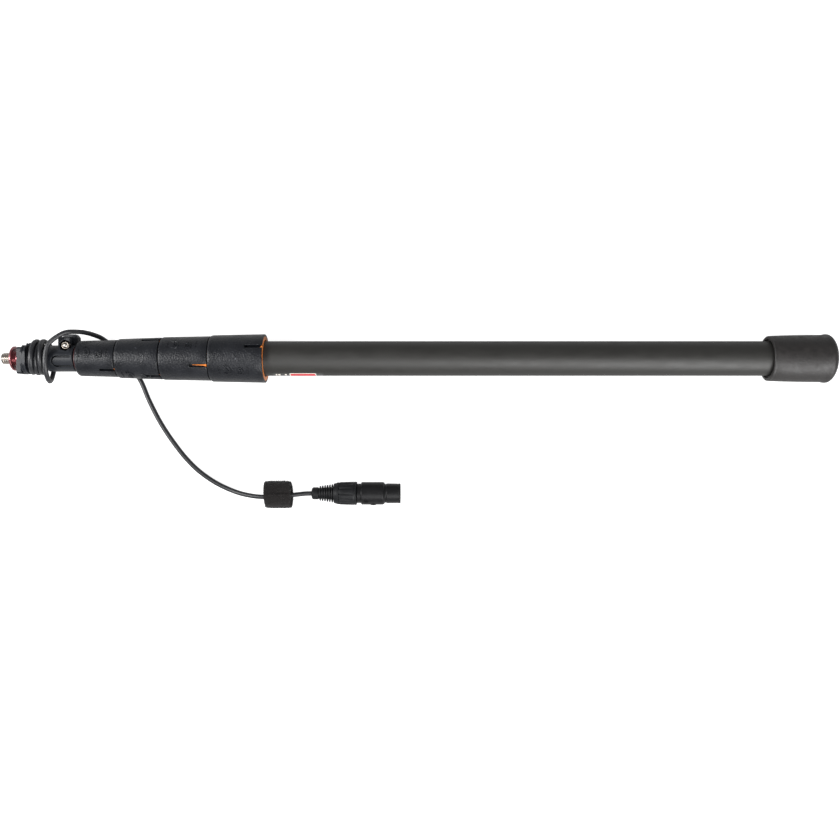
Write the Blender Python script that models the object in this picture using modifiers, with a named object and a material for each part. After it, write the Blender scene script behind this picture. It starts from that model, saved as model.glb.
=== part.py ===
"""A five-section telescopic boom pole, closed, lying on its side with its signal cord beside it.

The pole runs along X: the threaded tip is at -X and the rubber butt at +X. +Z is up.
The origin is under the pole's middle, on the surface that it lies on.
Sizes are written in millimetres and turned to metres by MM.
"""

import math

import bpy
from mathutils import Matrix, Vector

MM = 0.001
GAP = 0.3  # between pieces that touch
CHAMFER = 0.3
AXIS_HEIGHT = 19.5  # the butt cap's bulge rests on the surface
SEGMENTS = 20

# The five tubes, from the base (1) to the tip section (5).
TUBE_RADIUS = {1: 13.85, 2: 12.15, 3: 10.45, 4: 8.75, 5: 7.05}
TUBE_WALL = 1.0
TUBE_REAR = {1: 303.0, 2: 289.0, 3: 278.0, 4: 267.0, 5: 256.0}
TUBE_CLEARANCE = 0.35  # between a rear bush and the bore that it slides in
BUSH_FLANGE = 4.3  # how far a bush stands out of its tube
BUSH_SPIGOT = 6.0
BUSH_WALL = 1.3

# The four twist collars. Collar k locks section k + 1 in section k.
COLLAR_ENDS = {1: (-272.0, -240.85), 2: (-240.55, -205.85), 3: (-205.55, -167.0), 4: (-166.7, -123.4)}
COLLAR_RADII = {1: (14.05, 14.85), 2: (15.6, 16.75), 3: (17.05, 17.8), 4: (18.55, 19.45)}
COLLAR_SECTION = {4: 1, 3: 2, 2: 3, 1: 4}  # the tube that carries each collar
SLOT_TURN = {1: -43.0, 2: -61.0, 3: -22.0, 4: 26.5}  # degrees from the top towards +Y
SLOT_LENGTH = {1: 12.0, 2: 14.3, 3: 13.9, 4: 13.9}
SLOT_WIDTH = 2.6
SLOTS = 3
GRIP_WALL = 1.0  # at the front of the bore, where the grip is thinnest
GRIP_CORNER = 2.2
FRONT_WALL = 3.7  # from the grip's front to its bore
RECESS_DEPTH = 2.0  # the next nut's rim turns in it

# Inside a collar. Places are counted from the grip's front or rear edge.
TUBE_FRONT = 9.3
FERRULE_REAR = 2.0
FERRULE_LIP = 8.0
THREAD_RADIUS = 1.45  # above the tube
THREAD_DEPTH = 0.5
THREAD_RIDGES = 2
THREAD_PITCH = 2.0
COLLET_ENDS = (4.4, 7.6)
NUT_FRONT = 4.0
NUT_RIM = {1: 1.4, 2: 1.4, 3: 1.4, 4: 0.1}  # how far a nut stands out of its grip
NUT_CLEARANCE = 1.75  # above the tube

# The tip, from the stud back to the clamp.
STUD_RADIUS = 4.7
STUD_ENDS = (-333.8, -304.0)
DISC_ENDS = (-325.2, -322.8)
DISC_RADIUS = 9.8
DISC_BOSS_END = -319.6
BLOCK_ENDS = (-319.3, -315.5)
BLOCK_SIZE = (21.6, 16.4)
FLANGE_ENDS = (-315.2, -311.2)
FLANGE_RADIUS = 12.6
HUB_RADIUS = 9.0
HUB_END = -296.5
SPIGOT_END = -284.0
SPIGOT_BORE = 2.2
CLAMP_ENDS = (-296.2, -274.2)
CLAMP_RADIUS = 10.5
EAR_ENDS = (-286.1, -274.8)
EAR_SLIT = 1.4
EAR_HEIGHT = 8.0
FRONT_EAR_REACH = 17.1
REAR_EAR_REACH = 18.9
CLAMP_SCREW = (-281.0, 10.0)  # X and Y of the screw's axis

# The butt.
BUTT_LIP = 277.4
BUTT_END = 331.1
BUTT_LIP_RADIUS = 18.05
BUTT_BULGE_X = 323.6
BUTT_BULGE_RADIUS = 19.5
BUTT_BORE_END = 324.2
PLUG_ENDS = (295.0, 309.0)
PLUG_WALL = 2.0

# The cord and what is on it.
CORD_RADIUS = 1.9
CORD_POINT_GAP = 8.5
WINDING_ENDS = (-309.2, -300.3)
WINDING_RADII = (10.4, 15.6)
GLAND_X = -308.6
GLAND_TURN = 200.0
GLAND_SIZE = (2.2, 3.4)  # radius and length
ROLL_CENTRE = (-114.5, -109.4)
ROLL_RADIUS = 11.2
ROLL_LENGTH = 21.9
CONNECTOR_Y = -108.6
CONNECTOR_RADIUS = 9.45
CONNECTOR_ENDS = (-87.6, -15.8)

# The cord from its winding to the strap roll: X, Y and the height above the pole's axis.
CORD_ROUTE = [
    (-297.9, 4.0, -12.9),
    (-298.0, -3.0, -13.6),
    (-298.1, -10.0, -12.6),
    (-297.9, -15.6, -8.6),
    (-296.6, -18.1, -2.0),
    (-295.4, -16.9, 4.6),
    (-294.8, -12.6, 9.9),
    (-294.4, -6.8, 12.9),
    (-294.1, -0.9, 13.9),
    (-293.4, 5.0, 13.8),
    (-291.8, 10.4, 13.5),
    (-287.7, 14.7, 12.8),
    (-284.0, 17.3, 12.2),
    (-281.0, 19.2, 11.2),
    (-277.6, 20.4, 9.4),
    (-273.6, 21.0, 4.7),
    (-268.5, 20.9, -1.0),
    (-263.5, 19.6, -7.0),
    (-258.0, 16.8, -12.2),
    (-250.4, 9.6, -16.9),
    (-245.6, 3.6, -17.5),
    (-240.4, -2.8, -17.5),
    (-234.6, -9.2, -17.5),
    (-229.8, -15.2, -17.5),
    (-226.4, -22.0, -17.5),
    (-222.9, -30.7, -17.5),
    (-218.2, -40.6, -17.5),
    (-213.0, -50.4, -17.5),
    (-206.9, -60.2, -17.5),
    (-199.9, -70.1, -17.5),
    (-192.1, -79.9, -17.5),
    (-181.9, -90.2, -17.5),
    (-168.8, -99.6, -17.3),
    (-155.4, -106.0, -15.8),
    (-141.6, -109.9, -12.2),
    (-125.8, -111.4, -9.0),
]
# The cord from the strap roll to the connector's boot.
TAIL_ROUTE = [
    (-103.2, -109.8, -9.3),
    (-98.0, -109.3, -9.8),
    (-92.8, -108.8, -10.0),
    (-87.9, -108.6, -10.05),
]

COLOURS = {
    "carbon": (0.060, 0.058, 0.055, 1.0),
    "grip_rubber": (0.030, 0.031, 0.036, 1.0),
    "orange_plastic": (0.60, 0.20, 0.04, 1.0),
    "black_plastic": (0.026, 0.028, 0.033, 1.0),
    "butt_rubber": (0.040, 0.039, 0.038, 1.0),
    "red_anodised": (0.28, 0.020, 0.030, 1.0),
    "stainless_steel": (0.62, 0.61, 0.59, 1.0),
    "black_anodised": (0.020, 0.020, 0.022, 1.0),
    "cord_jacket": (0.025, 0.026, 0.028, 1.0),
    "strap_fabric": (0.016, 0.015, 0.014, 1.0),
}
METALS = ("stainless_steel", "red_anodised", "black_anodised")
materials = {}


def clear_scene():
    """Remove what the file opened with."""
    for thing in list(bpy.data.objects):
        bpy.data.objects.remove(thing, do_unlink=True)


def make_materials():
    """One Principled material for each colour in the table."""
    for name, colour in COLOURS.items():
        material = bpy.data.materials.new(name)
        material.use_nodes = True
        shader = material.node_tree.nodes["Principled BSDF"]
        shader.inputs["Base Color"].default_value = colour
        shader.inputs["Roughness"].default_value = 0.35 if name in METALS else 0.6
        shader.inputs["Metallic"].default_value = 1.0 if name in METALS else 0.0
        materials[name] = material


def make_collection(name):
    """A collection linked to the scene."""
    collection = bpy.data.collections.new(name)
    bpy.context.scene.collection.children.link(collection)
    return collection


def place(thing, name, material, y=0.0, height=AXIS_HEIGHT):
    """Turn a piece built around its own Z so that it lies along X, and finish it."""
    thing.name = name
    thing.data.materials.append(materials[material])
    thing.location = (0.0, y * MM, height * MM)
    thing.rotation_euler = (0.0, math.pi / 2, 0.0)
    thing.parent = pole_root
    part_collection.objects.link(thing)
    return thing


def turned(name, outline, material, closed=True, y=0.0, height=AXIS_HEIGHT, segments=SEGMENTS):
    """A turned piece. The outline holds (X, radius), outer side first, from +X to -X."""
    points = [(radius * MM, 0.0, x * MM) for x, radius in outline]
    edges = [(i, i + 1) for i in range(len(points) - 1)]
    if closed:
        edges.append((len(points) - 1, 0))
    mesh = bpy.data.meshes.new(name)
    mesh.from_pydata(points, edges, [])
    thing = place(bpy.data.objects.new(name, mesh), name, material, y, height)
    screw = thing.modifiers.new("Turn", "SCREW")
    screw.axis = "Z"
    screw.steps = segments
    screw.render_steps = segments
    screw.use_merge_vertices = True
    screw.merge_threshold = 1e-5
    screw.use_smooth_shade = True
    return thing


def ring(name, ends, radii, material, **kwargs):
    """A plain tube between two X positions; radii are (inner, outer)."""
    low, high = ends
    inner, outer = radii
    outline = [(high, outer), (low, outer), (low, inner), (high, inner)]
    return turned(name, outline, material, **kwargs)


def move_to(thing, name, collection):
    """Name a new primitive and put it in one collection only."""
    thing.name = name
    for old in list(thing.users_collection):
        old.objects.unlink(thing)
    collection.objects.link(thing)
    return thing


def adopt(thing, name, material):
    """Make a primitive a piece of the pole."""
    thing.data.materials.append(materials[material])
    thing.parent = pole_root
    return move_to(thing, name, part_collection)


def cutter(name, thing):
    """Keep a tool shape out of the model and out of the render."""
    thing.hide_render = True
    thing.display_type = "WIRE"
    return move_to(thing, name, cutter_collection)


def box_cutter(name, low, high, turn=0.0):
    """A box between two corners, turned about the pole's axis by some degrees from +Z to +Y."""
    size = [(b - a) * MM for a, b in zip(low, high)]
    middle = Vector([(a + b) / 2 * MM for a, b in zip(low, high)])
    bpy.ops.mesh.primitive_cube_add(size=1.0)
    thing = bpy.context.object
    spin = Matrix.Rotation(math.radians(-turn), 4, "X")
    lift = Matrix.Translation((0.0, 0.0, AXIS_HEIGHT * MM))
    thing.data.transform(lift @ spin @ Matrix.Translation(middle) @ Matrix.Diagonal((*size, 1.0)))
    return cutter(name, thing)


def rod_cutter(name, start, end, radius, sides=24, roll=0.0):
    """A rod between two points given as X, Y and height above the pole's axis."""
    start = Vector(start)
    end = Vector(end)
    along = end - start
    bpy.ops.mesh.primitive_cylinder_add(vertices=sides, radius=radius * MM, depth=along.length * MM)
    thing = bpy.context.object
    middle = (start + end) / 2 + Vector((0.0, 0.0, AXIS_HEIGHT))
    turn = along.to_track_quat("Z", "Y").to_matrix().to_4x4()
    spin = Matrix.Rotation(math.radians(roll), 4, "Z")
    thing.data.transform(Matrix.Translation(middle * MM) @ turn @ spin)
    return cutter(name, thing)


def combine(thing, tool, operation):
    """Cut a tool from a piece, or join it on."""
    boolean = thing.modifiers.new(tool.name, "BOOLEAN")
    boolean.operation = operation
    boolean.solver = "EXACT"
    boolean.object = tool
    return boolean


def polar(x, turn, radius):
    """A point at some degrees from the top towards +Y."""
    angle = math.radians(turn)
    return (x, radius * math.sin(angle), radius * math.cos(angle))


def smooth_route(points, spacing):
    """Points about one spacing apart on a Catmull-Rom curve through the route's own points."""
    ends = [points[0], *points, points[-1]]
    fine = []
    for before, start, end, after in zip(ends, ends[1:], ends[2:], ends[3:]):
        before, start, end, after = (Vector(p) for p in (before, start, end, after))
        steps = max(1, round((end - start).length / 0.5))
        for i in range(steps):
            t = i / steps
            fine.append(
                0.5 * (2 * start + (end - before) * t)
                + 0.5 * (2 * before - 5 * start + 4 * end - after) * t**2
                + 0.5 * (3 * start - before - 3 * end + after) * t**3
            )
    fine.append(Vector(points[-1]))
    lengths = [(b - a).length for a, b in zip(fine, fine[1:])]
    pieces = max(2, round(sum(lengths) / spacing))
    step = sum(lengths) / pieces
    route = [fine[0]]
    walked = 0.0
    for point, length in zip(fine[1:], lengths):
        walked += length
        if walked >= step * len(route) - 1e-9 and len(route) < pieces:
            route.append(point)
    route.append(fine[-1])
    return route


def cord_tube(name, points):
    """A free stretch of the cord, as a round tube with closed ends."""
    route = smooth_route(points, CORD_POINT_GAP)
    curve = bpy.data.curves.new(name, "CURVE")
    curve.dimensions = "3D"
    curve.bevel_depth = CORD_RADIUS * MM
    curve.bevel_resolution = 2
    curve.use_fill_caps = True
    spline = curve.splines.new("POLY")
    spline.points.add(len(route) - 1)
    for target, (x, y, z) in zip(spline.points, route):
        target.co = (x * MM, y * MM, (z + AXIS_HEIGHT) * MM, 1.0)
    thing = bpy.data.objects.new(name, curve)
    curve.materials.append(materials["cord_jacket"])
    thing.parent = pole_root
    part_collection.objects.link(thing)
    return thing


def tube_inner(section):
    return TUBE_RADIUS[section] - TUBE_WALL


def build_tubes():
    """The five nested tubes, and the bush on the rear end of each one that slides."""
    fronts = {section: COLLAR_ENDS[collar][0] + TUBE_FRONT for collar, section in COLLAR_SECTION.items()}
    fronts[5] = HUB_END + GAP
    names = {1: "base_tube", 5: "tip_tube"}
    for section, radius in TUBE_RADIUS.items():
        name = names.get(section, f"section_{section}_tube")
        ends = (fronts[section], TUBE_REAR[section])
        ring(name, ends, (tube_inner(section), radius), "carbon")
        if section == 1:
            continue
        rear = TUBE_REAR[section]
        outer = tube_inner(section - 1) - TUBE_CLEARANCE
        spigot = tube_inner(section) - GAP
        bore = spigot - BUSH_WALL
        outline = [
            (rear + BUSH_FLANGE, outer - CHAMFER),
            (rear + BUSH_FLANGE - CHAMFER, outer),
            (rear + GAP, outer),
            (rear + GAP, spigot),
            (rear - BUSH_SPIGOT, spigot),
            (rear - BUSH_SPIGOT, bore),
            (rear + BUSH_FLANGE, bore),
        ]
        turned(f"section_{section}_bush", outline, "black_plastic")


def build_lock(collar):
    """One twist lock: threaded ferrule, split collet, orange nut and the slotted grip."""
    section = COLLAR_SECTION[collar]
    front, rear = COLLAR_ENDS[collar]
    front_radius, rear_radius = COLLAR_RADII[collar]
    tube = TUBE_RADIUS[section]
    sliding = TUBE_RADIUS[section + 1]
    bore = front_radius - GRIP_WALL
    nut_outer = bore - GAP
    neighbour = collar - 1
    if neighbour:
        recess = COLLAR_RADII[neighbour][0] - GRIP_WALL + 0.2
    else:
        recess = CLAMP_RADIUS - GRIP_WALL

    # The ferrule is fixed on the tube's front end. Its outside carries the lock's thread.
    thread = tube + THREAD_RADIUS
    ferrule = [(rear - FERRULE_REAR, thread), (rear - FERRULE_LIP, thread)]
    for i in range(THREAD_RIDGES):
        right = rear - FERRULE_LIP - i * THREAD_PITCH
        root = thread - THREAD_DEPTH
        ferrule += [(right - 0.5, root), (right - 1.0, root), (right - 1.5, thread)]
    ferrule += [
        (front + FERRULE_LIP, thread),
        (front + FERRULE_LIP, sliding + 0.5),
        (front + TUBE_FRONT - GAP, sliding + 0.5),
        (front + TUBE_FRONT - GAP, tube + GAP),
        (rear - FERRULE_REAR, tube + GAP),
    ]
    turned(f"ferrule_{collar}", ferrule, "black_anodised")

    # The collet is a split cone that closes on the sliding tube.
    collet_front, collet_rear = (front + place for place in COLLET_ENDS)
    collet = turned(
        f"collet_{collar}",
        [
            (collet_rear, tube + 1.2),
            (collet_front, sliding + 1.5),
            (collet_front, sliding + GAP),
            (collet_rear, sliding + GAP),
        ],
        "black_plastic",
    )
    slit_low = (collet_front - 1.4, -0.5, 0.0)
    slit_high = (collet_rear + 1.4, 0.5, tube + 3.0)
    combine(collet, box_cutter(f"collet_slit_{collar}", slit_low, slit_high, 180.0), "DIFFERENCE")

    # The orange nut turns with the grip. Its rear face shows behind the grip.
    nut_rear = rear + NUT_RIM[collar]
    nut_bore = tube + NUT_CLEARANCE
    turned(
        f"nut_{collar}",
        [
            (nut_rear, nut_outer - 0.5),
            (nut_rear - 0.5, nut_outer),
            (front + NUT_FRONT, nut_outer),
            (front + NUT_FRONT, sliding + 2.0),
            (front + FERRULE_LIP, nut_bore),
            (nut_rear - 0.9, nut_bore),
            (nut_rear, nut_bore + 0.35),
        ],
        "orange_plastic",
    )

    # The grip is a slightly tapered sleeve with a rounded front edge and slots at the rear.
    arc = [
        (
            front + GRIP_CORNER * (1 - math.cos(angle)),
            front_radius - GRIP_CORNER * 0.75 * (1 - math.sin(angle)),
        )
        for angle in (math.radians(a) for a in (90, 60, 30, 0))
    ]
    grip = turned(
        f"grip_{collar}",
        [
            (rear, rear_radius - 0.4),
            (rear - 0.5, rear_radius),
            *arc,
            (front, recess),
            (front + RECESS_DEPTH, recess),
            (front + RECESS_DEPTH, sliding + 0.6),
            (front + FRONT_WALL, sliding + 0.6),
            (front + FRONT_WALL, bore),
            (rear, bore),
        ],
        "grip_rubber",
    )
    for i in range(SLOTS):
        turn = SLOT_TURN[collar] + i * 360.0 / SLOTS
        low = (rear - SLOT_LENGTH[collar], -SLOT_WIDTH / 2, bore - 1.5)
        high = (rear + 3.0, SLOT_WIDTH / 2, rear_radius + 3.0)
        combine(grip, box_cutter(f"slot_{collar}_{i + 1}", low, high, turn), "DIFFERENCE")


def build_butt():
    """The plug in the base tube's end, and the rubber cap over it."""
    inner = tube_inner(1)
    plug_front, plug_rear = PLUG_ENDS
    plug = [
        (plug_rear, TUBE_RADIUS[1] - 0.5),
        (plug_rear - 0.5, TUBE_RADIUS[1]),
        (TUBE_REAR[1] + GAP, TUBE_RADIUS[1]),
        (TUBE_REAR[1] + GAP, inner - GAP),
        (plug_front, inner - GAP),
        (plug_front, inner - PLUG_WALL),
        (plug_rear, inner - PLUG_WALL),
    ]
    turned("base_plug", plug, "black_anodised")
    dome = []
    for degrees in range(0, 90, 10):
        angle = math.radians(degrees)
        x = BUTT_BULGE_X + (BUTT_END - BUTT_BULGE_X) * math.cos(angle)
        dome.append((x, BUTT_BULGE_RADIUS * math.sin(angle)))
    bore = TUBE_RADIUS[1] + GAP
    body = [
        (BUTT_BULGE_X - 3.5, BUTT_BULGE_RADIUS - 0.35),
        (BUTT_BULGE_X - 6.5, 18.75),
        (302.0, 18.5),
        (288.0, 18.1),
        (BUTT_LIP + 0.6, BUTT_LIP_RADIUS),
        (BUTT_LIP, BUTT_LIP_RADIUS - 0.6),
        (BUTT_LIP, bore + 0.9),
        (BUTT_LIP + 1.6, bore),
        (BUTT_BORE_END, bore),
        (BUTT_BORE_END, 0.0),
    ]
    bulge = (BUTT_BULGE_X, BUTT_BULGE_RADIUS)
    turned("butt_cap", [*dome, bulge, *body], "butt_rubber", closed=False)


def build_tip():
    """Stud, red seat disc, block and the spool that the cord is wound on."""
    bore = STUD_RADIUS + GAP
    low, high = STUD_ENDS
    stud = [
        (high, 0.0),
        (high, STUD_RADIUS),
        (low + 1.1, STUD_RADIUS),
        (low, STUD_RADIUS - 1.1),
        (low, 0.0),
    ]
    turned("tip_stud", stud, "stainless_steel", closed=False)
    disc = [
        (DISC_BOSS_END, bore + 2.4),
        (DISC_ENDS[1], bore + 2.4),
        (DISC_ENDS[1], DISC_RADIUS - 0.3),
        (DISC_ENDS[1] - 0.3, DISC_RADIUS),
        (DISC_ENDS[0] + 0.8, DISC_RADIUS),
        (DISC_ENDS[0], DISC_RADIUS - 0.8),
        (DISC_ENDS[0], bore),
        (DISC_BOSS_END, bore),
    ]
    turned("tip_disc", disc, "red_anodised")

    bpy.ops.mesh.primitive_cube_add(size=1.0)
    block = bpy.context.object
    width, depth = BLOCK_SIZE
    length = BLOCK_ENDS[1] - BLOCK_ENDS[0]
    middle = (BLOCK_ENDS[0] + BLOCK_ENDS[1]) / 2
    place_at = Matrix.Translation((middle * MM, 0.0, AXIS_HEIGHT * MM))
    block.data.transform(place_at @ Matrix.Diagonal((length * MM, width * MM, depth * MM, 1.0)))
    adopt(block, "tip_block", "black_plastic")
    bevel = block.modifiers.new("Round", "BEVEL")
    bevel.width = 1.0 * MM
    bevel.segments = 2
    hole = rod_cutter("block_bore", (BLOCK_ENDS[0] - 2, 0, 0), (BLOCK_ENDS[1] + 2, 0, 0), bore)
    combine(block, hole, "DIFFERENCE")

    spigot = tube_inner(5) - GAP
    spool = turned(
        "tip_spool",
        [
            (SPIGOT_END, spigot),
            (HUB_END, spigot),
            (HUB_END, HUB_RADIUS),
            (FLANGE_ENDS[1], HUB_RADIUS),
            (FLANGE_ENDS[1], FLANGE_RADIUS - 0.4),
            (FLANGE_ENDS[1] - 0.4, FLANGE_RADIUS),
            (FLANGE_ENDS[0] + 0.4, FLANGE_RADIUS),
            (FLANGE_ENDS[0], FLANGE_RADIUS - 0.4),
            (FLANGE_ENDS[0], bore),
            (STUD_ENDS[1] + 1.0, bore),
            (STUD_ENDS[1] + 1.0, SPIGOT_BORE),
            (SPIGOT_END, SPIGOT_BORE),
        ],
        "black_plastic",
    )
    mouth = Vector(polar(GLAND_X, GLAND_TURN, HUB_RADIUS))
    outward = Vector(polar(0.0, GLAND_TURN + 45.0, 1.0))
    gland_radius, gland_length = GLAND_SIZE
    socket_floor = mouth - outward * (gland_length + 0.9)
    socket = rod_cutter("gland_socket", socket_floor, mouth + outward * 6.0, gland_radius + GAP, 16)
    combine(spool, socket, "DIFFERENCE")

    bpy.ops.mesh.primitive_cylinder_add(
        vertices=16, radius=gland_radius * MM, depth=gland_length * MM
    )
    gland = bpy.context.object
    turn = outward.to_track_quat("Z", "Y").to_matrix().to_4x4()
    sunk = gland_length / 2 + 0.5
    middle = mouth - outward * sunk + Vector((0.0, 0.0, AXIS_HEIGHT))
    gland.data.transform(Matrix.Translation(middle * MM) @ turn)
    adopt(gland, "cord_gland", "cord_jacket")


def build_clamp():
    """The split clamp that holds the spool's end on the tip tube, with its screw and nut."""
    bore = TUBE_RADIUS[5] + GAP
    clamp = ring("clamp_body", CLAMP_ENDS, (bore, CLAMP_RADIUS), "black_plastic")
    screw_x, screw_y = CLAMP_SCREW
    low, high = EAR_ENDS
    slit = EAR_SLIT / 2
    ears = {
        "front_ear": ((low, 7.6, slit), (high, FRONT_EAR_REACH, EAR_HEIGHT)),
        "rear_ear": ((low, 7.6, -EAR_HEIGHT), (high, REAR_EAR_REACH, -slit)),
    }
    for name, (start, end) in ears.items():
        combine(clamp, box_cutter(name, start, end), "UNION")
    slit_box = box_cutter(
        "clamp_slit", (CLAMP_ENDS[0] - 2, 2.0, -slit), (CLAMP_ENDS[1] + 2, 30.0, slit)
    )
    hole = rod_cutter("screw_hole", (screw_x, screw_y, -12), (screw_x, screw_y, 12), 2.3)
    pocket_ends = ((screw_x, screw_y, 4.6), (screw_x, screw_y, 12))
    pocket = rod_cutter("nut_pocket", *pocket_ends, 4.6, sides=6, roll=30.0)
    seat = rod_cutter("head_seat", (screw_x, screw_y, -12), (screw_x, screw_y, -4.2), 3.9)
    for tool in (slit_box, hole, pocket, seat):
        combine(clamp, tool, "DIFFERENCE")

    def upright(name, outline, material, closed, segments):
        """A turned piece that stands on the screw's axis."""
        thing = turned(name, outline, material, closed=closed, segments=segments)
        thing.rotation_euler = (0.0, 0.0, 0.0)
        thing.location = (screw_x * MM, screw_y * MM, AXIS_HEIGHT * MM)

    screw = [
        (7.4, 0.0),
        (7.4, 1.6),
        (7.0, 1.95),
        (-4.6, 1.95),
        (-4.6, 3.5),
        (-7.6, 3.5),
        (-7.6, 1.6),
        (-6.0, 1.6),
        (-6.0, 0.0),
    ]
    upright("clamp_screw", screw, "stainless_steel", False, 24)
    nut = [(7.2, 3.4), (6.7, 4.1), (5.0, 4.1), (5.0, 2.3), (7.2, 2.3)]
    upright("clamp_nut", nut, "stainless_steel", True, 6)


def build_cord():
    """The cord's winding, its two free stretches, the strap roll and the connector."""
    ring("cord_winding", WINDING_ENDS, WINDING_RADII, "cord_jacket")
    cord_tube("cord_run", CORD_ROUTE)
    cord_tube("cord_tail", TAIL_ROUTE)
    roll_x, roll_y = ROLL_CENTRE
    half = ROLL_LENGTH / 2
    roll = [
        (roll_x + half, 0.0),
        (roll_x + half, ROLL_RADIUS - 0.6),
        (roll_x + half - 0.6, ROLL_RADIUS),
        (roll_x - half + 0.6, ROLL_RADIUS),
        (roll_x - half, ROLL_RADIUS - 0.6),
        (roll_x - half, 0.0),
    ]
    turned("strap_roll", roll, "strap_fabric", closed=False, y=roll_y, height=ROLL_RADIUS)
    start, end = CONNECTOR_ENDS
    where = {"y": CONNECTOR_Y, "height": CONNECTOR_RADIUS}
    boot = [(start + 22.0, 0.0), (start + 22.0, 8.9), (start + 18.2, 8.1)]
    for i in range(6):
        rib = start + 16.6 - i * 1.95
        crest = 7.5 - i * 0.28
        boot += [(rib, crest), (rib - 0.6, crest), (rib - 0.9, crest - 1.3)]
    boot += [(start + 5.0, 4.9), (start + 0.8, 4.9), (start, 4.2), (start, 0.0)]
    turned("connector_boot", boot, "black_plastic", closed=False, **where)
    bushing = [
        (start + 36.4, 0.0),
        (start + 36.4, 9.2),
        (start + 36.0, 9.45),
        (start + 27.0, 9.3),
        (start + 22.9, 8.9),
        (start + 22.3, 8.5),
        (start + 22.3, 0.0),
    ]
    turned("connector_bushing", bushing, "black_plastic", closed=False, **where)
    shell = [
        (end, 7.9),
        (end - 0.3, 8.0),
        (end - 11.0, 8.0),
        (end - 11.4, 7.7),
        (end - 13.2, 7.7),
        (end - 14.8, 9.1),
        (end - 31.0, 9.1),
        (end - 32.0, 8.2),
        (end - 35.1, 8.2),
        (end - 35.1, 6.5),
        (end, 6.5),
    ]
    turned("connector_shell", shell, "black_anodised", **where)
    insert = turned(
        "connector_insert",
        [(end - 0.6, 0.0), (end - 0.6, 6.1), (end - 34.0, 6.1), (end - 34.0, 0.0)],
        "black_plastic",
        closed=False,
        **where,
    )
    for i, angle in enumerate((150.0, 30.0, 270.0)):
        across = 3.5 * math.cos(math.radians(angle))
        up = 3.5 * math.sin(math.radians(angle)) + CONNECTOR_RADIUS - AXIS_HEIGHT
        mouth = (end + 2.0, CONNECTOR_Y + across, up)
        bottom = (end - 10.0, CONNECTOR_Y + across, up)
        combine(insert, rod_cutter(f"contact_{i + 1}", mouth, bottom, 1.35, 12), "DIFFERENCE")


clear_scene()
make_materials()
part_collection = make_collection("boom_pole")
cutter_collection = make_collection("cutters")
pole_root = bpy.data.objects.new("pole_root", None)
part_collection.objects.link(pole_root)
build_tubes()
for number in COLLAR_ENDS:
    build_lock(number)
build_butt()
build_tip()
build_clamp()
build_cord()
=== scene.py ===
# %% [markdown]
# # A telescopic boom pole
# Five carbon tubes slide in one another, and four twist collars lock them. At the tip there is a
# threaded stud on a red seat, and a spool with the signal cord wound on it. The cord ends in a
# connector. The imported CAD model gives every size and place. This script gives the looks.

# %% Load the frame
import math
from functools import partial

import bmesh
import bpy
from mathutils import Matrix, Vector


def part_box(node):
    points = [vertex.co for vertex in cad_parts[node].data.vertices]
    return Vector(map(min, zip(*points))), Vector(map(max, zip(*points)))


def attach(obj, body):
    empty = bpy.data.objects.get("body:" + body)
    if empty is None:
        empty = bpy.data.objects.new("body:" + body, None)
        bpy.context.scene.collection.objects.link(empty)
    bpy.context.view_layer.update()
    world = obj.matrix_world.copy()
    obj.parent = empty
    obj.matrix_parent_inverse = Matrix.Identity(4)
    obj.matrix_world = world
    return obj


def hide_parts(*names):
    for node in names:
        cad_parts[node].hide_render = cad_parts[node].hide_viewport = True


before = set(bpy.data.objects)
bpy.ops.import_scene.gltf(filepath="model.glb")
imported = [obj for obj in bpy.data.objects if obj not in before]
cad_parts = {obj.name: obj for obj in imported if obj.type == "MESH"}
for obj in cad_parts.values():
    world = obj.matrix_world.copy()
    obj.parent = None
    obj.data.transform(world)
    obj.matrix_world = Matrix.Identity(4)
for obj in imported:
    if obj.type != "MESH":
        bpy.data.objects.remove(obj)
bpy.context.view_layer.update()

# %% [markdown]
# Sizes are written in millimetres, as a maker would, and turned to metres in one place. The pole is
# turned about a line along X, so the boxes of the CAD nodes give its height, ends and radii.

# %% Units and measures
MM = 0.001


def span(node):
    """A turned node's two ends along X and its outer radius, in millimetres."""
    low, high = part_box(node)
    return low.x / MM, high.x / MM, (high.y - low.y) / 2 / MM


def middle(node):
    """The centre of a node's box across the pole: Y and Z, in millimetres."""
    low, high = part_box(node)
    return (low.y + high.y) / 2 / MM, (low.z + high.z) / 2 / MM


def add_object(name, data):
    """A new object in the scene."""
    thing = bpy.data.objects.new(name, data)
    bpy.context.scene.collection.objects.link(thing)
    return thing


AXIS = middle("base_tube")[1]
print("the pole's axis is", round(AXIS, 2), "mm above the surface")

# %% [markdown]
# ## Camera
# The camera looks straight down from about three quarters of a metre. From so near, the two ends of
# the pole are seen at a slant, which a longer lens further away would lose.

# %% Camera
CAMERA_HEIGHT = 746.5
CAMERA_Y = -49.15
camera_data = bpy.data.cameras.new("studio_camera")
camera_data.sensor_width = 36.0
camera_data.lens = 38.96
camera_data.clip_start = 0.02
camera = add_object("studio_camera", camera_data)
camera.location = (0.0, CAMERA_Y * MM, CAMERA_HEIGHT * MM)
bpy.context.scene.camera = camera
print("camera at", [round(v, 3) for v in camera.location])

# %% [markdown]
# ## Light and floor
# Black pieces are drawn by what they reflect. A dim white room gives their edges. A long softbox on
# the near side and a smaller one towards the butt give the streak along the tube, a small one over the
# tip lights the collars, and a low one beyond the tip draws the edges that face it. The floor is a lit
# acrylic table: it stays white with faint shadows, and it shines less on the pole than it does on the
# camera, or every lower edge would glow. The Standard view keeps white white.


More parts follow.
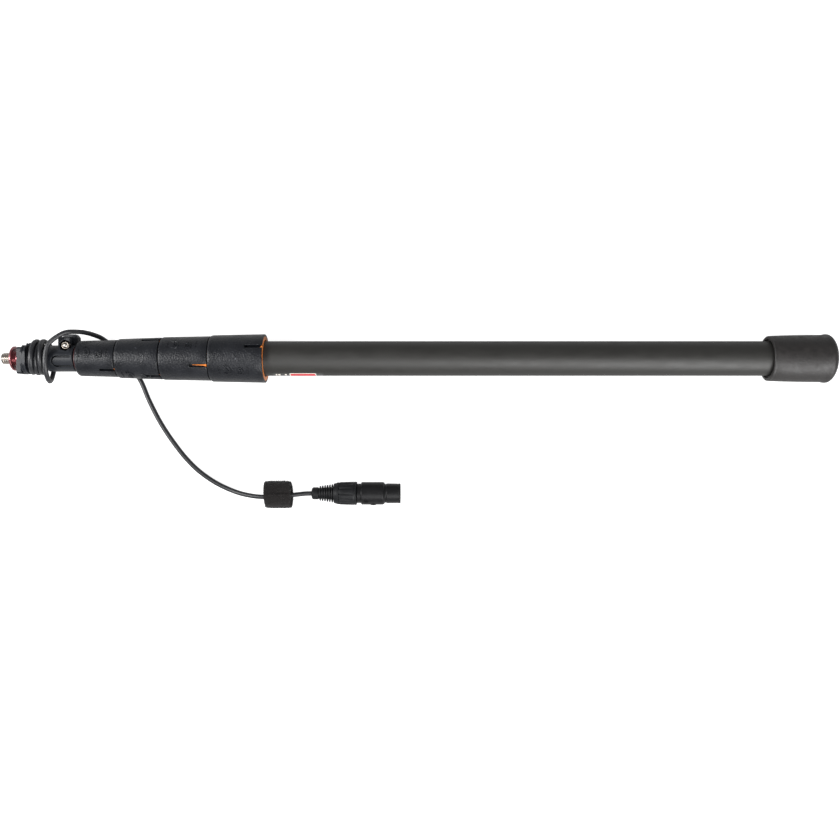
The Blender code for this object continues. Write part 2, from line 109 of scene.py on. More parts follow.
# %% Node helpers
def add_node(tree, kind, inputs=None, **settings):
    """Add one node. An input is either another node's socket or a plain value."""
    node = tree.nodes.new(kind)
    for name, value in settings.items():
        setattr(node, name, value)
    for name, value in (inputs or {}).items():
        if isinstance(value, bpy.types.NodeSocket):
            tree.links.new(value, node.inputs[name])
        else:
            node.inputs[name].default_value = value
    return node


def to_linear(code):
    """An sRGB hex colour as linear values."""
    values = [int(code[i : i + 2], 16) / 255 for i in (1, 3, 5)]
    linear = [v / 12.92 if v <= 0.04045 else ((v + 0.055) / 1.055) ** 2.4 for v in values]
    return (*linear, 1.0)


def set_inputs(owner, values, node="Principled BSDF"):
    """Set constants on the shader of a material or the world."""
    for name, value in values.items():
        owner.node_tree.nodes[node].inputs[name].default_value = value


# %% World, softboxes and floor
bpy.context.scene.view_settings.view_transform = "Standard"
world = bpy.data.worlds.new("white_room")
world.use_nodes = True
set_inputs(world, {"Color": to_linear("#f6f7fa"), "Strength": 0.44}, "Background")
bpy.context.scene.world = world


def softbox(name, place, aim, size, watts):
    """A soft rectangular light at a place, aimed at another, in metres."""
    light = bpy.data.lights.new(name, "AREA")
    light.shape = "RECTANGLE"
    light.size, light.size_y = size
    light.energy = watts
    lamp = add_object(name, light)
    lamp.location = place
    lamp.rotation_euler = (Vector(aim) - Vector(place)).to_track_quat("-Z", "Y").to_euler()


softbox("near_softbox", (0.34, -0.72, 1.02), (0.24, 0.0, 0.0), (0.9, 0.75), 15.4)
softbox("butt_softbox", (0.85, -1.03, 0.62), (0.3, 0.0, 0.0), (0.7, 0.5), 13.5)
softbox("tip_softbox", (-0.95, -0.02, 0.95), (-0.3, 0.0, 0.0), (0.4, 0.4), 13.2)
softbox("end_softbox", (-1.5, 0.0, 0.3), (-0.3, 0.0, 0.0), (0.5, 1.6), 19.0)

FLOOR_HALF = 3.0
FLOOR_DROP = 0.0002  # clear of the pieces that lie on the table
CAMERA_GLOW = 0.85
POLE_GLOW = 0.12
floor_mesh = bpy.data.meshes.new("studio_floor")
floor_corners = [(-1, -1), (1, -1), (1, 1), (-1, 1)]
floor_points = [(x * FLOOR_HALF, y * FLOOR_HALF, -FLOOR_DROP) for x, y in floor_corners]
floor_mesh.from_pydata(floor_points, [], [(0, 1, 2, 3)])
floor = add_object("studio_floor", floor_mesh)
acrylic = bpy.data.materials.new("lit_white_acrylic")
acrylic.use_nodes = True
set_inputs(acrylic, {"Base Color": to_linear("#a6a6a6"), "Emission Color": to_linear("#ffffff")})
set_inputs(acrylic, {"Roughness": 0.9, "Specular IOR Level": 0.0})
seen = add_node(acrylic.node_tree, "ShaderNodeLightPath").outputs["Is Camera Ray"]
glow = add_node(acrylic.node_tree, "ShaderNodeMapRange", {0: seen, 3: POLE_GLOW, 4: CAMERA_GLOW})
emission = acrylic.node_tree.nodes["Principled BSDF"].inputs["Emission Strength"]
acrylic.node_tree.links.new(glow.outputs[0], emission)
floor_mesh.materials.append(acrylic)
print("floor", 2 * FLOOR_HALF, "m square")

# %% [markdown]
# ## Moulded and cast finishes
# Most black pieces are moulded plastic or rubber. What tells them apart is small: how far the colour
# wanders, how coarse the grain is, how glossy the skin is. One builder makes these finishes from real
# sizes. Two noises on Object coordinates do it, a wide one for colour and gloss and a fine one for
# the bump.


# %% Finish builder
def noise(tree, where, size, detail):
    """Noise of a size in millimetres."""
    inputs = {"Vector": where, "Scale": 1 / (size * MM), "Detail": detail}
    return add_node(tree, "ShaderNodeTexNoise", inputs).outputs["Fac"]


def blended(tree, share, first, second):
    """One colour mixed into another."""
    inputs = {0: share, 6: first, 7: second}
    return add_node(tree, "ShaderNodeMix", inputs, data_type="RGBA").outputs[2]


def grained(name, dark, light, mottle, grain, depth, roughness, spread=0.05, metallic=0.0, stretch=None):
    """A solid material. Mottle and grain are sizes in millimetres, depth is the bump's height."""
    material = bpy.data.materials.new(name)
    material.use_nodes = True
    set_inputs(material, {"Metallic": metallic})
    tree = material.node_tree
    where = add_node(tree, "ShaderNodeTexCoord").outputs["Object"]
    if stretch:
        where = add_node(tree, "ShaderNodeMapping", {"Vector": where, "Scale": stretch}).outputs[0]
    wide = noise(tree, where, mottle, 4.0)
    fine = noise(tree, where, grain, 3.0)
    limits = {0: wide, 1: 0.3, 2: 0.7, 3: roughness - spread, 4: roughness + spread}
    gloss = add_node(tree, "ShaderNodeMapRange", limits)
    bump = add_node(tree, "ShaderNodeBump", {"Height": fine, "Distance": depth * MM, "Strength": 1.0})
    shader = tree.nodes["Principled BSDF"]
    tree.links.new(blended(tree, wide, to_linear(dark), to_linear(light)), shader.inputs["Base Color"])
    tree.links.new(gloss.outputs[0], shader.inputs["Roughness"])
    tree.links.new(bump.outputs[0], shader.inputs["Normal"])
    return material


# Extruded PVC jacket: smooth, a little waxy, with a drag line now and then.
extruded_jacket = grained("extruded_pvc_jacket", "#0e0f11", "#1b1c20", 9.0, 1.1, 0.08, 0.44)

# %% [markdown]
# ## Shaping tools
# The pole is lathe work, so most pieces are an outline turned about a line. A real corner is never
# sharp: `rounded` gives each one a small arc, with a point close on both sides that keeps the flats
# flat when they are shaded smooth.


# %% Lathe
def rounded(outline, size, closed=True, steps=3):
    """Round the corners of an outline of (X, radius) points."""
    count = len(outline)
    result = []
    for i, corner in enumerate(outline):
        here = Vector(corner)
        if not closed and i in (0, count - 1):
            result.append(here)
            continue
        before = Vector(outline[i - 1]) - here
        after = Vector(outline[(i + 1) % count]) - here
        if math.pi - before.angle(after) < 0.2:
            result.append(here)
            continue
        reach = min(size, before.length * 0.4, after.length * 0.4)
        start = here + before.normalized() * reach
        end = here + after.normalized() * reach
        result.append(start + before.normalized() * reach * 0.2)
        for j in range(steps + 1):
            t = j / steps
            result.append(start * (1 - t) ** 2 + here * 2 * t * (1 - t) + end * t**2)
        result.append(end + after.normalized() * reach * 0.2)
    return result


def finish_mesh(piece, material, sharp=35.0):
    """Merge doubles, point the faces out, shade smooth but for sharp edges, and paint."""
    mesh = piece.data
    shell = bmesh.new()
    shell.from_mesh(mesh)
    bmesh.ops.remove_doubles(shell, verts=shell.verts, dist=2e-6)
    bmesh.ops.recalc_face_normals(shell, faces=shell.faces)
    shell.to_mesh(mesh)
    shell.free()
    mesh.shade_smooth()
    mesh.set_sharp_from_angle(angle=math.radians(sharp))
    mesh.materials.clear()
    mesh.materials.append(material)
    return piece


def make_piece(name, points, faces, material, sharp=35.0):
    """A mesh object from points in millimetres, with its place in its mesh."""
    mesh = bpy.data.meshes.new(name)
    mesh.from_pydata([Vector(p) * MM for p in points], [], faces)
    return finish_mesh(add_object(name, mesh), material, sharp)


def polar(x, turn, radius, y=0.0, height=AXIS):
    """A point at some degrees from the top towards +Y, round a line along X."""
    angle = math.radians(turn)
    return (x, y + radius * math.sin(angle), height + radius * math.cos(angle))


def lathe(name, outline, material, turns=96, shape=None, closed=True, place=polar):
    """Turn an outline about a line. `turns` is a count or a list of degrees, `place` sets the line."""
    if isinstance(turns, int):
        turns = [360 * i / turns for i in range(turns)]
    points = []
    rings = []
    for x, radius in outline:
        first = len(points)
        if radius < 0.001:
            points.append(place(x, 0.0, 0.0))
        else:
            points += [place(x, turn, shape(x, turn, radius) if shape else radius) for turn in turns]
        rings.append(range(first, len(points)))
    pairs = list(zip(rings, rings[1:]))
    if closed:
        pairs.append((rings[-1], rings[0]))
    faces = []
    for low, high in pairs:
        count = max(len(low), len(high))
        for i in range(count):
            j = (i + 1) % count
            quad = (low[i % len(low)], low[j % len(low)], high[j % len(high)], high[i % len(high)])
            faces.append(list(dict.fromkeys(quad)))
    return make_piece(name, points, faces, material)


def sheet(name, rows, columns, point, material, sharp=35.0):
    """A sheet with a thickness. `point` gives a place from a row, a side (0 or 1) and a column."""
    points = [point(i, side, j) for i in range(rows + 1) for side in (0, 1) for j in range(columns + 1)]
    top = columns + 1
    faces = []
    for i in range(rows):
        a = 2 * top * i
        b = a + 2 * top
        for j in range(columns):
            faces.append((a + j, b + j, b + j + 1, a + j + 1))
            faces.append((a + top + j, a + top + j + 1, b + top + j + 1, b + top + j))
        faces.append((a, a + top, b + top, b))
        faces.append((a + columns, b + columns, b + top + columns, a + top + columns))
    for a in (0, 2 * top * rows):
        faces += [(a + j, a + j + 1, a + top + j + 1, a + top + j) for j in range(columns)]
    return make_piece(name, points, faces, material, sharp)


def fit(piece, body, slot, *nodes):
    """Put a piece on what it rides on and hide the CAD nodes it stands for. The finish `slot` is not used.
    """
    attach(piece, body)
    if nodes:
        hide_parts(*nodes)
    print(f"{piece.name}: {len(piece.data.polygons)} faces on {body}")
    return piece


# %% [markdown]
# ## The cord
# The cord leaves a gland in the spool, winds on it three times, makes one loose turn, passes over the
# clamp's ear and under the collars, and runs over the table through the strap roll to its connector.
# The winding is a loose helix, given by a few chosen places. The rest is a route of chosen points,
# the ones that the CAD tube follows, with one smooth curve through them all.

# %% Cord route
CORD_RADIUS = 1.9
GLAND_RADIUS = 9.0
# Chosen places in the winding: degrees of turn, X and radius. Zero is the first top crossing. The
# first turn stands off the others, and the second is drawn tight under it.
WINDING = [
    (-160, -309.2, 9.0), (-90, -308.7, 11.2), (0, -305.6, 13.7), (90, -305.7, 13.5),
    (180, -305.6, 11.5), (270, -305.2, 11.6), (360, -303.0, 11.0), (450, -303.2, 11.0),
    (540, -302.3, 11.0), (630, -301.5, 11.4), (720, -298.8, 12.6), (810, -300.7, 13.7),
    (883, -297.9, 13.5),
]
WINDING_STEP = 15
FREE_ROUTE = [
    (-297.9, 4.0, -12.9), (-298.0, -3.0, -13.6), (-298.1, -10.0, -12.6), (-297.9, -15.6, -8.6),
    (-296.6, -18.1, -2.0), (-295.4, -16.9, 4.6), (-294.8, -12.6, 9.9), (-294.4, -6.8, 12.9),
    (-294.1, -0.9, 13.9), (-293.4, 5.0, 13.8), (-291.8, 10.4, 13.5), (-287.7, 14.7, 12.8),
    (-284.0, 17.3, 12.2), (-281.0, 19.2, 11.2), (-277.6, 20.4, 9.4), (-273.6, 21.0, 4.7),
    (-268.5, 20.9, -1.0), (-263.5, 19.6, -7.0), (-258.0, 16.8, -12.2), (-250.4, 9.6, -16.9),
    (-245.6, 3.6, -17.5), (-240.4, -2.8, -17.5), (-234.6, -9.2, -17.5), (-229.8, -15.2, -17.5),
    (-226.4, -22.0, -17.5), (-222.9, -30.7, -17.5), (-218.2, -40.6, -17.5), (-213.0, -50.4, -17.5),
    (-206.9, -60.2, -17.5), (-199.9, -70.1, -17.5), (-192.1, -79.9, -17.5), (-181.9, -90.2, -17.5),
    (-168.8, -99.6, -17.3), (-155.4, -106.0, -15.8), (-141.6, -109.9, -12.2), (-125.8, -111.4, -9.0),
    (-103.2, -109.8, -9.3), (-98.0, -109.3, -9.8), (-92.8, -108.8, -10.0), (-85.5, -108.6, -10.05),
]


def blend(before, start, end, after, t):
    """A Catmull-Rom value between two others."""
    even = 0.5 * (2 * start + (end - before) * t)
    return (
        even
        + 0.5 * (2 * before - 5 * start + 4 * end - after) * t**2
        + 0.5 * (3 * start - before - 3 * end + after) * t**3
    )


winding = []
rows = [WINDING[0], *WINDING, WINDING[-1]]
for before, start, end, after in zip(rows, rows[1:], rows[2:], rows[3:]):
    parts_between = round((end[0] - start[0]) / WINDING_STEP)
    for i in range(parts_between):
        t = i / parts_between
        turn = start[0] + (end[0] - start[0]) * t
        x, radius = (blend(before[k], start[k], end[k], after[k], t) for k in (1, 2))
        winding.append(Vector(polar(x, turn, radius, height=0.0)))
route = [*winding, *(Vector(p) for p in FREE_ROUTE)]
print("cord route:", len(winding), "points in the winding,", len(FREE_ROUTE), "on the free run")


# %% Cord curve
def smooth(points, step):
    """Points about one step apart on a Catmull-Rom curve through the given ones."""
    ends = [points[0], *points, points[-1]]
    fine = []
    for before, start, end, after in zip(ends, ends[1:], ends[2:], ends[3:]):
        pieces = max(1, round((end - start).length / step))
        for i in range(pieces):
            t = i / pieces
            fine.append(blend(before, start, end, after, t))
    return [*fine, points[-1]]


cord_path = [(p + Vector((0, 0, AXIS))) * MM for p in smooth(route, 1.5)]
cord_length = sum((b - a).length for a, b in zip(cord_path, cord_path[1:]))
cord_curve = bpy.data.curves.new("signal_cord", "CURVE")
cord_curve.dimensions = "3D"
cord_curve.bevel_depth = CORD_RADIUS * MM
cord_curve.bevel_resolution = 4
cord_curve.use_fill_caps = True
cord_spline = cord_curve.splines.new("POLY")
cord_spline.points.add(len(cord_path) - 1)
for target, place in zip(cord_spline.points, cord_path):
    target.co = (*place, 1.0)
cord_spline.use_smooth = True
cord_curve.materials.append(extruded_jacket)
signal_cord = add_object("signal_cord", cord_curve)
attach(signal_cord, "tip")
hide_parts("cord_winding", "cord_run", "cord_tail")
print("cord:", round(cord_length, 3), "m,", len(cord_path), "points")

# %% [markdown]
# ## The tubes
# Each tube is carbon fibre wound on a rod, under a satin lacquer. The lacquer hides most of the
# winding: what is left is a faint spiral of tows and a dusty shine. The pattern is therefore weak, and
# it runs round the tube, by noise that is squeezed along X.

# %% Carbon finish
wound_carbon = grained(
    "satin_wound_carbon", "#141310", "#201f1c", 5.0, 0.9, 0.03, 0.52, 0.05, stretch=(0.35, 1.0, 1.0)
)

# %% Tubes
# From the tip's to the base's. Each collar holds one of these in the next.
TUBES = ["tip_tube", "section_4_tube", "section_3_tube", "section_2_tube", "base_tube"]
TUBE_WALL = 1.0


def make_tube(node):
    """A tube with softly broken edges, in place of the CAD one."""
    start, end, radius = span(node)
    outline = [(end, radius), (start, radius), (start, radius - TUBE_WALL), (end, radius - TUBE_WALL)]
    piece = lathe(f"smooth_{node}", rounded(outline, 0.3), wound_carbon, turns=128)
    return fit(piece, node.removesuffix("_tube"), "carbon_tube", node)


for tube in reversed(TUBES):
    make_tube(tube)

# %% [markdown]
# ## The grips
# A grip is a moulded sleeve of rubbery plastic. It tapers a little, its front edge is round, and three
# slots run in from its rear edge so that it can flex on the nut. The slots are made in the outline's
# own grid: columns of points stand close on both sides of a slot wall, and the points between them
# drop to the slot's floor. This keeps the surface clean, where a boolean would cut it into slivers.

# %% Grip finish
# Thermoplastic rubber over a leather-grained mould: dull, bluish black, with pale nicks from use.
leather_grain = grained("leather_grained_rubber", "#090a0d", "#16181d", 12.0, 1.3, 0.4, 0.38, 0.09)
set_inputs(leather_grain, {"Specular IOR Level": 0.3})


def add_nicks(material, size, threshold):
    """Small pale scuffs where a stretched noise is at its highest."""
    tree = material.node_tree
    skin = tree.nodes["Principled BSDF"].inputs["Base Color"]
    where = add_node(tree, "ShaderNodeTexCoord").outputs["Object"]
    leaning = {"Vector": where, "Rotation": (0.3, 0.0, 0.9), "Scale": (0.35, 1.0, 1.0)}
    turned = add_node(tree, "ShaderNodeMapping", leaning).outputs[0]
    peaks = {0: noise(tree, turned, size, 2.0), 1: threshold, 2: threshold + 0.05}
    worn = add_node(tree, "ShaderNodeMapRange", peaks).outputs[0]
    tree.links.new(blended(tree, worn, skin.links[0].from_socket, to_linear("#8b8f98")), skin)


add_nicks(leather_grain, 1.6, 0.765)

# %% Grip sizes
COLLARS = (1, 2, 3, 4)
GRIP_FRONT_RADIUS = {1: 14.05, 2: 15.6, 3: 17.05, 4: 18.55}
SLOT_TURN = {1: -43.0, 2: -61.0, 3: -22.0, 4: 26.5}
SLOT_LENGTH = {1: 12.0, 2: 14.3, 3: 13.9, 4: 13.9}
SLOT_WIDTH = 2.6
SLOT_EDGE = 0.2
SLOTS = 3
FRONT_CORNER = 2.2
LAST_BORE = 17.85  # the last grip closes round its nut's flat rear face
CLAMP_RADIUS = 10.5


def slot_turns(collar):
    """The three slots of a collar, in degrees."""
    return [SLOT_TURN[collar] + 360 * i / SLOTS for i in range(SLOTS)]


def off_by(turn, centre):
    """The signed angle between two turns, in degrees."""
    return (turn - centre + 180) % 360 - 180


def grip_turns(collar, radius):
    """Columns round the grip: even ones, with close pairs where a slot's walls stand."""
    half = SLOT_WIDTH / 2
    offsets = (half + SLOT_EDGE + 0.3, half + SLOT_EDGE, half, half - 0.03, half / 2)
    steps = [math.degrees(o / radius) for o in offsets]
    keep = []
    for i in range(96):
        turn = 360 * i / 96
        if all(abs(off_by(turn, c)) > steps[0] + 0.8 for c in slot_turns(collar)):
            keep.append(turn)
    for centre in slot_turns(collar):
        keep += [(centre + side * step) % 360 for step in steps for side in (-1, 1)]
        keep.append(centre % 360)
    return sorted(keep)


def grip_skin(collar):
    """The grip's outer radius as a rule of X. It tapers to the front."""
    front, rear, rear_radius = span(f"grip_{collar}")
    front_radius = GRIP_FRONT_RADIUS[collar]
    return lambda x: front_radius + (rear_radius - front_radius) * (x - front) / (rear - front)


def make_grip(collar):
    """One grip with its slots, in place of the CAD one."""
    node = f"grip_{collar}"
    front, rear, rear_radius = span(node)
    outer = grip_skin(collar)
    bore = GRIP_FRONT_RADIUS[collar] - 1.0
    floor_radius = bore - 1.0
    rear_bore = LAST_BORE if collar == 4 else bore + 0.2
    recess = GRIP_FRONT_RADIUS[collar - 1] - 0.45 if collar > 1 else CLAMP_RADIUS + 0.9
    shoulder = span(f"nut_{collar}")[0] - 0.3
    sliding = span(TUBES[collar - 1])[2] + 0.6
    slot_end = rear - SLOT_LENGTH[collar]
    edge = front + FRONT_CORNER

    def cut(x, turn, radius):
        """Lower the points in a slot to its floor, with a broken edge round it."""
        lining = radius <= rear_bore + 0.01
        for centre in slot_turns(collar):
            across = SLOT_WIDTH / 2 - math.radians(abs(off_by(turn, centre))) * rear_radius
            inside = min(across, x - slot_end)
            if inside > 0.01:
                return floor_radius - 0.3 if lining else floor_radius
            if inside > -SLOT_EDGE and not lining:
                return radius - (inside + SLOT_EDGE) * 0.7
        return radius

    outline = [(rear, rear_bore), (rear, rear_radius - 0.5), (rear - 0.2, rear_radius - 0.15)]
    round_slot = (slot_end + 6, slot_end + 0.03, slot_end, slot_end - SLOT_EDGE, slot_end - 0.7)
    outline += [(x, outer(x)) for x in (rear - 0.6, *round_slot, edge + 6, edge + 0.6)]
    for i in range(7):
        angle = math.pi / 2 * i / 6
        x = edge - FRONT_CORNER * math.sin(angle)
        outline.append((x, outer(edge) - FRONT_CORNER * 0.75 * (1 - math.cos(angle))))
    outline += [(front, recess + 0.2), (front + 0.2, recess), (front + 2, recess), (front + 2, sliding)]
    outline += [(shoulder, sliding), (shoulder, bore), (slot_end - 0.3, bore), (slot_end + 0.03, bore)]
    outline += [(rear - 1.5, bore), (rear - 1.4, rear_bore)] if collar == 4 else [(rear, bore)]
    columns = grip_turns(collar, rear_radius)
    piece = lathe(f"moulded_{node}", outline, leather_grain, turns=columns, shape=cut)
    return fit(piece, f"collar_{collar}", "collar_grip", node)


for number in COLLARS:
    make_grip(number)

# %% [markdown]
# ## Marks on the grips
# Each grip has a turn arrow and a padlock moulded in relief, between two pairs of dots. They are
# strokes: a centre line in flat millimetres, thickened to a low ridge and wrapped on the grip.


# %% Mark strokes
def arc(centre, radius, start, end, steps=10):
    """Points on a flat arc, in degrees."""
    angles = [math.radians(start + (end - start) * i / steps) for i in range(steps + 1)]
    return [(centre[0] + radius * math.cos(a), centre[1] + radius * math.sin(a)) for a in angles]


ARROW = [
    arc((-4.6, 0.0), 2.5, -140, 120),
    [(-7.2, 3.2), (-5.6, 1.9), (-5.2, 4.1)],
    [(-5.6, -0.7), (-4.6, 0.8), (-3.6, -0.7)],
]
PADLOCK = [
    [(3.0, -2.6), (6.6, -2.6), (6.6, 0.3), (3.0, 0.3), (3.0, -2.6)],
    arc((4.8, 0.3), 1.3, 0, 180),
    [(4.8, -1.6), (4.8, -0.8)],
]
DOTS = [[(x, y), (x + 0.55, y)] for x in (-10.2, 9.6) for y in (-2.0, 0.0, 2.0)]
MARK_TURN = {1: 14.5, 2: 119.0, 3: 36.0, 4: -33.0}
MARK_SCALE = (1.12, 1.32)
MARK_WIDTH = 1.0
MARK_HEIGHT = 0.6


def ridge(points, faces, stroke, wrap):
    """Add one stroke as a low ridge with sloping sides."""
    line = [Vector(p) for p in stroke]
    first = len(points)
    for i, here in enumerate(line):
        before = line[max(i - 1, 0)]
        after = line[min(i + 1, len(line) - 1)]
        along = (after - before).normalized()
        side = Vector((-along.y, along.x)) * MARK_WIDTH / 2
        for share, height in ((1.3, -0.15), (0.7, MARK_HEIGHT), (-0.7, MARK_HEIGHT), (-1.3, -0.15)):
            spot = here + side * share
            points.append(wrap(spot.x, spot.y, height))
    for i in range(len(line) - 1):
        a = first + 4 * i
        for j in range(4):
            k = (j + 1) % 4
            faces.append((a + j, a + k, a + 4 + k, a + 4 + j))
    last = first + 4 * (len(line) - 1)
    faces.append((first, first + 1, first + 2, first + 3))
    faces.append((last + 3, last + 2, last + 1, last))


def make_marks(collar):
    """The relief marks of one grip, on two opposite sides."""
    front, rear, _ = span(f"grip_{collar}")
    outer = grip_skin(collar)
    centre = (front + rear) / 2 - 1.0
    points = []
    faces = []
    for turn in (MARK_TURN[collar], MARK_TURN[collar] + 180.0):

        def wrap(u, v, height):
            x = centre + u * MARK_SCALE[0]
            lean = math.degrees(v * MARK_SCALE[1] / outer(x))
            return polar(x, turn + lean, outer(x) + height)

        for stroke in [*ARROW, *PADLOCK, *DOTS]:
            ridge(points, faces, stroke, wrap)
    piece = make_piece(f"grip_marks_{collar}", points, faces, leather_grain)
    return fit(piece, f"collar_{collar}", "collar_grip")


for number in COLLARS:
    make_marks(number)

# %% [markdown]
# ## The orange nuts
# Inside each grip a nut of orange glass-filled nylon runs on the ferrule's thread. It shows in two
# places: its rim behind the grip, and three keys that taper up through the slots and turn with the
# grip.

# %% Nylon finish
orange_nylon = grained("orange_glass_filled_nylon", "#a3561d", "#cf7b33", 6.0, 0.9, 0.03, 0.38)
# The wiper ring at the front of the first collar is the same nylon, dyed red.
wine_red_nylon = grained("wine_red_nylon", "#2e0b0d", "#421214", 5.0, 0.9, 0.03, 0.45)

# %% Nuts
RIM_RADIUS = {1: 13.2, 2: 14.9, 3: 16.4, 4: 17.7}
RIM_DEPTH = {1: 1.3, 2: 1.3, 3: 1.3, 4: 1.2}
KEY_RISE = {1: -0.7, 2: 0.1, 3: 0.5, 4: 0.9}
KEY_LENGTH = {1: 2.0, 2: 1.6, 3: 11.5, 4: 1.9}  # worn shorter, or moulded so, on all but the third


def make_nut(collar):
    """One nut with its rear rim. The last one has a lip that closes on the base tube."""
    node = f"nut_{collar}"
    start, end, radius = span(node)
    carrying = span(TUBES[collar])[2]
    bore = carrying + 1.75
    lip = carrying + 0.7
    rim = RIM_RADIUS[collar]
    back = end - RIM_DEPTH[collar]
    mouth = [(end - 1.4, bore), (end - 1.4, lip), (end, lip)] if collar == 4 else [(end, bore)]
    outline = [(end, rim), (back, rim), (back, radius - 1.1), (start, radius - 1.1)]
    outline += [(start, span(TUBES[collar - 1])[2] + 2.0), (start + 4, bore), *mouth]
    piece = lathe(f"nylon_{node}", rounded(outline, 0.35), orange_nylon)
    return fit(piece, f"collar_{collar}", "orange_nut", node)


def make_keys(collar):
    """Three wedges that widen and rise towards the rear."""
    rear = span(f"grip_{collar}")[1]
    base = GRIP_FRONT_RADIUS[collar] - 1.0
    start = rear - KEY_LENGTH[collar]
    waist = rear - min(2.4, KEY_LENGTH[collar] * 0.5)
    rise = KEY_RISE[collar]
    stations = ((start, 0.12, -0.4), (waist, 0.5, 0.1 + rise * 0.6), (rear - 0.3, 1.0, 0.45 + rise))
    points = []
    faces = []
    for turn in slot_turns(collar):
        a = len(points)
        for x, half, top in stations:
            for side, radius in ((-1, base - 1.2), (-1, base + top), (1, base + top), (1, base - 1.2)):
                points.append(polar(x, turn + side * math.degrees(half / base), radius))
        faces += [(a, a + 1, a + 2, a + 3), (a + 11, a + 10, a + 9, a + 8)]
        for b in (a, a + 4):
            faces += [(b + j, b + (j + 1) % 4, b + 4 + (j + 1) % 4, b + 4 + j) for j in range(4)]
    piece = make_piece(f"nut_keys_{collar}", points, faces, orange_nylon)
    return fit(piece, f"collar_{collar}", "orange_nut")


for number in COLLARS:
    make_nut(number)
    make_keys(number)

wiper_x = span("grip_1")[0]
wiper_inner = span("tip_tube")[2] + 0.3
wiper = [(wiper_x + 1.9, 11.1), (wiper_x - 1.3, 10.9)]
wiper += [(wiper_x - 1.3, wiper_inner), (wiper_x + 1.9, wiper_inner)]
fit(lathe("wiper_ring", rounded(wiper, 0.4), wine_red_nylon), "collar_1", "orange_nut")

# %% [markdown]
# ## The butt cap
# The cap is cast rubber pushed over the tube's end. A thin lip stands round its mouth, and its end is
# a soft bulge. The rubber is mottled with handling dust, so its colour wanders more than the grips'.

# %% Butt cap
cast_rubber = grained("cast_rubber", "#131211", "#252221", 4.5, 1.2, 0.2, 0.5, 0.1)
set_inputs(cast_rubber, {"Specular IOR Level": 0.4})
add_nicks(cast_rubber, 1.2, 0.79)
cap_start, cap_end, cap_radius = span("butt_cap")
cap_bore = span("base_tube")[2] + 0.3
BULGE_BACK = 7.5  # from the end of the cap to its widest place
CAP_FLOOR = 324.2  # where the cap's inside ends
leans = [math.pi / 2 * i / 12 for i in range(13)]
bulge_x = cap_end - BULGE_BACK
cap = [(bulge_x + BULGE_BACK * math.cos(a), cap_radius * math.sin(a)) for a in leans]
waist = [(1.5, 0.1), (3.0, 0.45), (4.5, 0.6), (8.0, 0.65)]
cap += [(bulge_x - back, cap_radius - less) for back, less in waist]
cap += [(302.0, 18.72), (288.0, 18.4)]
mouth = [(2.6, 18.1), (2.1, 17.9), (1.6, 18.0), (0.5, 17.9), (0.0, 17.4)]
cap += [(cap_start + x, radius) for x, radius in mouth]
cap += [(cap_start, cap_bore + 1.4), (cap_start + 1.8, cap_bore + 0.9), (cap_start + 2.0, cap_bore)]
cap += [(CAP_FLOOR, cap_bore), (CAP_FLOOR, 0.0)]
butt_cap = lathe("rubber_butt_cap", cap, cast_rubber, turns=128, closed=False)
fit(butt_cap, "base", "butt_rubber", "butt_cap")

# %% [markdown]
# ## Geometry Nodes helper
# Things that follow a rule are grown by node trees: the stud's thread, the boot's ribs and the nap of
# the strap. Each tree has named inputs for its sizes. The result is copied to a plain mesh and the
# modifier is taken off, so nothing live is left.


# %% Trees
SOCKETS = {float: "Float", int: "Int", Vector: "Vector", bpy.types.Material: "Material"}


def start_tree(name, values):
    """A geometry tree with an input for each named value. Gives the tree and its input sockets."""
    tree = bpy.data.node_groups.new(name, "GeometryNodeTree")
    tree.interface.new_socket(name="Geometry", in_out="INPUT", socket_type="NodeSocketGeometry")
    for label, value in values.items():
        kind = f"NodeSocket{SOCKETS[type(value)]}"
        tree.interface.new_socket(name=label, in_out="INPUT", socket_type=kind)
    tree.interface.new_socket(name="Geometry", in_out="OUTPUT", socket_type="NodeSocketGeometry")
    return tree, tree.nodes.new("NodeGroupInput").outputs


def end_tree(tree, geometry, material):
    """Close a tree with Realize Instances and Set Material."""
    solid = add_node(tree, "GeometryNodeRealizeInstances", {"Geometry": geometry}).outputs[0]
    painted = add_node(tree, "GeometryNodeSetMaterial", {"Geometry": solid, "Material": material})
    add_node(tree, "NodeGroupOutput", {"Geometry": painted.outputs[0]})


def maths(tree, operation, *values):
    """What one Math node gives."""
    return add_node(tree, "ShaderNodeMath", dict(enumerate(values)), operation=operation).outputs[0]


def instances(tree, points, thing, rotation, scale):
    """One copy of a mesh on each point."""
    inputs = {"Points": points, "Instance": thing, "Rotation": rotation, "Scale": scale}
    return add_node(tree, "GeometryNodeInstanceOnPoints", inputs).outputs[0]


def plain_mesh(piece):
    """Keep what the modifiers make, as a plain mesh."""
    graph = bpy.context.evaluated_depsgraph_get()
    mesh = bpy.data.meshes.new_from_object(piece.evaluated_get(graph))
    piece.modifiers.clear()
    piece.data = mesh
    return piece


def grow(piece, tree, values):
    """Run a tree on a piece, with its inputs set by their identifiers."""
    modifier = piece.modifiers.new(tree.name, "NODES")
    modifier.node_group = tree
    for item in tree.interface.items_tree:
        if item.in_out == "INPUT" and item.name in values:
            modifier[item.identifier] = values[item.name]
    return plain_mesh(piece)


def blank(name):
    """An object with an empty mesh, for a tree that makes all of its shape."""
    return add_object(name, bpy.data.meshes.new(name))


# %% [markdown]
# ## The threaded stud
# Microphone mounts screw on a 3/8 inch, 16 per inch stud: a turn every 1.5875 mm. A thread is one
# rule: the radius depends on how far a point's place along the stud, less its share of a turn, is
# from a whole number of turns. So a flat grid is rolled up by that rule.

